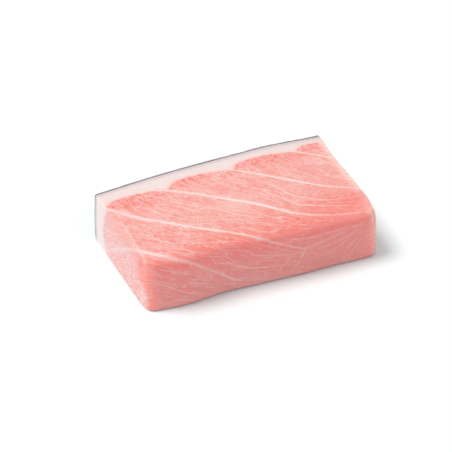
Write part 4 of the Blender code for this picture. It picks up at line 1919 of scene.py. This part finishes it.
@dataclass
class BellyBlock:
    """The block of belly: its blank, the knives that part it, and its three layers."""

    blank: BellyBlank
    fat_knife: LayerKnife
    skin_knife: LayerKnife

    def node_surface(self, node: str) -> BlockSurface:
        """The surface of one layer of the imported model."""
        return BlockSurface.of(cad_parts[node].data)

    def build(self, flesh: RawFlesh, fat: BellyFat, skin: SilverSkin) -> BlockSurface:
        """Builds, cuts and dresses the three layers.

        Args:
            flesh: Finish of the flesh.
            fat: Finish of the fat.
            skin: Finish of the skin.

        Returns:
            The finished flesh's surface.
        """
        fat_surface = self.node_surface("fat_layer")
        flesh_surface = self.node_surface("flesh")
        skin_surface = self.node_surface("skin")
        body = self.blank.closed_up()
        LOG.info("blank: %d points", len(body.data.vertices))
        marbling = Marbling.of(BlockSurface.of(body.data))
        marbling.store_on(body.data, fat_surface)
        flesh_material = flesh.material()
        self.blank.shape(body, flesh_material)
        fat_cut = self.fat_knife.solid(fat_surface)
        skin_cut = self.skin_knife.solid(skin_surface)
        self.forget_marbling(body.data)
        flesh_piece = cut(body, "flesh_block", [(fat_cut, Cut.KEEP_FRONT)])
        fat_piece = cut(body, "fat_band", [(fat_cut, Cut.KEEP_BACK), (skin_cut, Cut.KEEP_FRONT)])
        skin_piece = cut(body, "skin_sheet", [(skin_cut, Cut.KEEP_BACK)])
        marbling.store_on(flesh_piece.data, fat_surface)
        self.store_fat_values(fat_piece.data, flesh_surface, skin_surface)
        store(skin_piece.data, "skin_depth", self.depth_in_skin(skin_piece.data, skin_surface))
        finish_piece(flesh_piece, flesh_material, "flesh")
        finish_piece(fat_piece, fat.material(), "fat_layer")
        finish_piece(skin_piece, skin.material(), "skin")
        for tool in (body, fat_cut, skin_cut):
            bpy.data.objects.remove(tool)
        return BlockSurface.of(flesh_piece.data)

    def forget_marbling(self, mesh: Mesh) -> None:
        """Takes the marbling's values off the blank, so that the pieces cut from it start plain.

        Args:
            mesh: The blank's mesh.
        """
        names = [a.name for a in mesh.attributes if not a.is_internal and not a.is_required]
        for name in names:
            if name not in PLAIN_VALUES:
                mesh.attributes.remove(mesh.attributes[name])

    def store_fat_values(self, mesh: Mesh, flesh: BlockSurface, skin: BlockSurface) -> None:
        """Keeps on the fat what its material reads.

        Args:
            mesh: The fat's mesh.
            flesh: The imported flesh's surface.
            skin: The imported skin's surface.
        """
        points = points_of(mesh)
        flesh_depth, skin_depth = flesh.distances(points), skin.distances(points)
        store(mesh, "flesh_depth", flesh_depth)
        store(mesh, "skin_depth", skin_depth)
        store(mesh, "seam_depth", np.minimum(flesh_depth, skin_depth))
        # Where the fat gets painted light on the left end
        store(mesh, "end_painted_light_share", s_curve(-normals_of(mesh)[:, 0], 0.3, 0.8))
        by_corner = s_curve(points[:, 0], -40.0, -72.0) * s_curve(points[:, 2], 24.0, 31.0)
        store(mesh, "warm_share", 0.4 * by_corner * s_curve(skin_depth, 2.0, 7.0))

    def depth_in_skin(self, mesh: Mesh, surface: BlockSurface) -> Rows:
        """How far each point lies behind the skin's outer face.

        Args:
            mesh: The skin's mesh.
            surface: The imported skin's surface.

        Returns:
            A depth in millimetres for each point.
        """
        depths = []
        for x, y, z in points_of(mesh):
            outer = surface.hit(Vector((x * MM, 1.0, z * MM)), Vector((0, -1, 0)))
            depths.append(0.0 if outer is None else max(0.0, outer.y / MM - y))
        return np.array(depths)


@dataclass
class Studio:
    """The white floor, the soft light and the camera."""

    azimuth: float = -23.43
    elevation: float = 34.22
    distance: float = 1.5
    lens: float = 197.1
    target: Span3 = (-0.0076, -0.0016, 0.018)
    floor_size: float = 8.0
    floor_white: Colour = linear("EDF6F6")
    floor_roughness: float = 0.9
    floor_gloss: float = 0.1
    floor_lift: float = 0.02
    sky: float = 0.63
    sky_white: Colour = linear("FDFCFE")
    key_way: Span3 = (-0.40, 0.20, 0.88)
    key_spread: float = 27.0
    key_power: float = 1.98
    key_white: Colour = linear("FFF9F9")

    def build(self) -> None:
        """Builds everything that isn't part of the object."""
        self.build_floor()
        self.build_light()
        self.build_camera()

    def build_floor(self) -> None:
        """A plain white floor, matt like paper."""
        mesh = bpy.data.meshes.new("floor")
        bm = bmesh.new()
        bmesh.ops.create_grid(bm, x_segments=1, y_segments=1, size=self.floor_size / 2)
        bm.to_mesh(mesh)
        bm.free()
        floor = scratch_object("floor", mesh)
        material = bpy.data.materials.new("white_paper_floor")
        material.use_nodes = True
        shader = material.node_tree.nodes["Principled BSDF"]
        for name, value in (("Base Color", self.floor_white), ("Roughness", self.floor_roughness),
                            ("Specular IOR Level", self.floor_gloss), ("Emission Color", linear("FFFFFF")),
                            ("Emission Strength", self.floor_lift)):
            shader.inputs[name].default_value = value
        mesh.materials.append(material)

    def build_light(self) -> None:
        """An even white sky and a wide soft lamp from high on the left, a little behind."""
        world = bpy.data.worlds.new("studio")
        world.use_nodes = True
        background = world.node_tree.nodes["Background"]
        background.inputs["Color"].default_value = self.sky_white
        background.inputs["Strength"].default_value = self.sky
        bpy.context.scene.world = world
        lamp = bpy.data.lights.new("key", "SUN")
        lamp.angle = math.radians(self.key_spread)
        lamp.energy = self.key_power
        lamp.color = self.key_white[:3]
        key = bpy.data.objects.new("key", lamp)
        way = Vector(self.key_way).normalized()
        key.location = way
        key.rotation_mode = "QUATERNION"
        key.rotation_quaternion = (-way).to_track_quat("-Z", "Y")
        bpy.context.scene.collection.objects.link(key)

    def build_camera(self) -> None:
        """The camera at the photograph's angle."""
        turn, lift = math.radians(self.azimuth), math.radians(self.elevation)
        back = Vector((math.sin(turn) * math.cos(lift), -math.cos(turn) * math.cos(lift), math.sin(lift)))
        data = bpy.data.cameras.new("camera")
        data.lens = self.lens
        data.sensor_width = 36.0
        data.clip_end = 20.0
        camera = bpy.data.objects.new("camera", data)
        camera.location = Vector(self.target) + back * self.distance
        camera.rotation_mode = "QUATERNION"
        camera.rotation_quaternion = (-back).to_track_quat("-Z", "Y")
        bpy.context.scene.collection.objects.link(camera)
        bpy.context.scene.camera = camera
        bpy.context.scene.view_settings.view_transform = "Standard"


def main() -> None:
    """Builds the block and the studio round it."""
    logging.basicConfig(level=logging.INFO, format="%(name)s: %(message)s")
    block = BellyBlock(
        blank=BellyBlank(),
        fat_knife=LayerKnife("fat_knife", "fat_layer", advance=0.15, raggedness=0.25),
        skin_knife=LayerKnife("skin_knife", "skin", advance=0.8, raggedness=0.06),
    )
    flesh_surface = block.build(RawFlesh(), BellyFat(), SilverSkin())
    FatCrumbs().build(flesh_surface, CrumbFat().material())
    Studio().build()


if __name__ == "__main__":
    main()
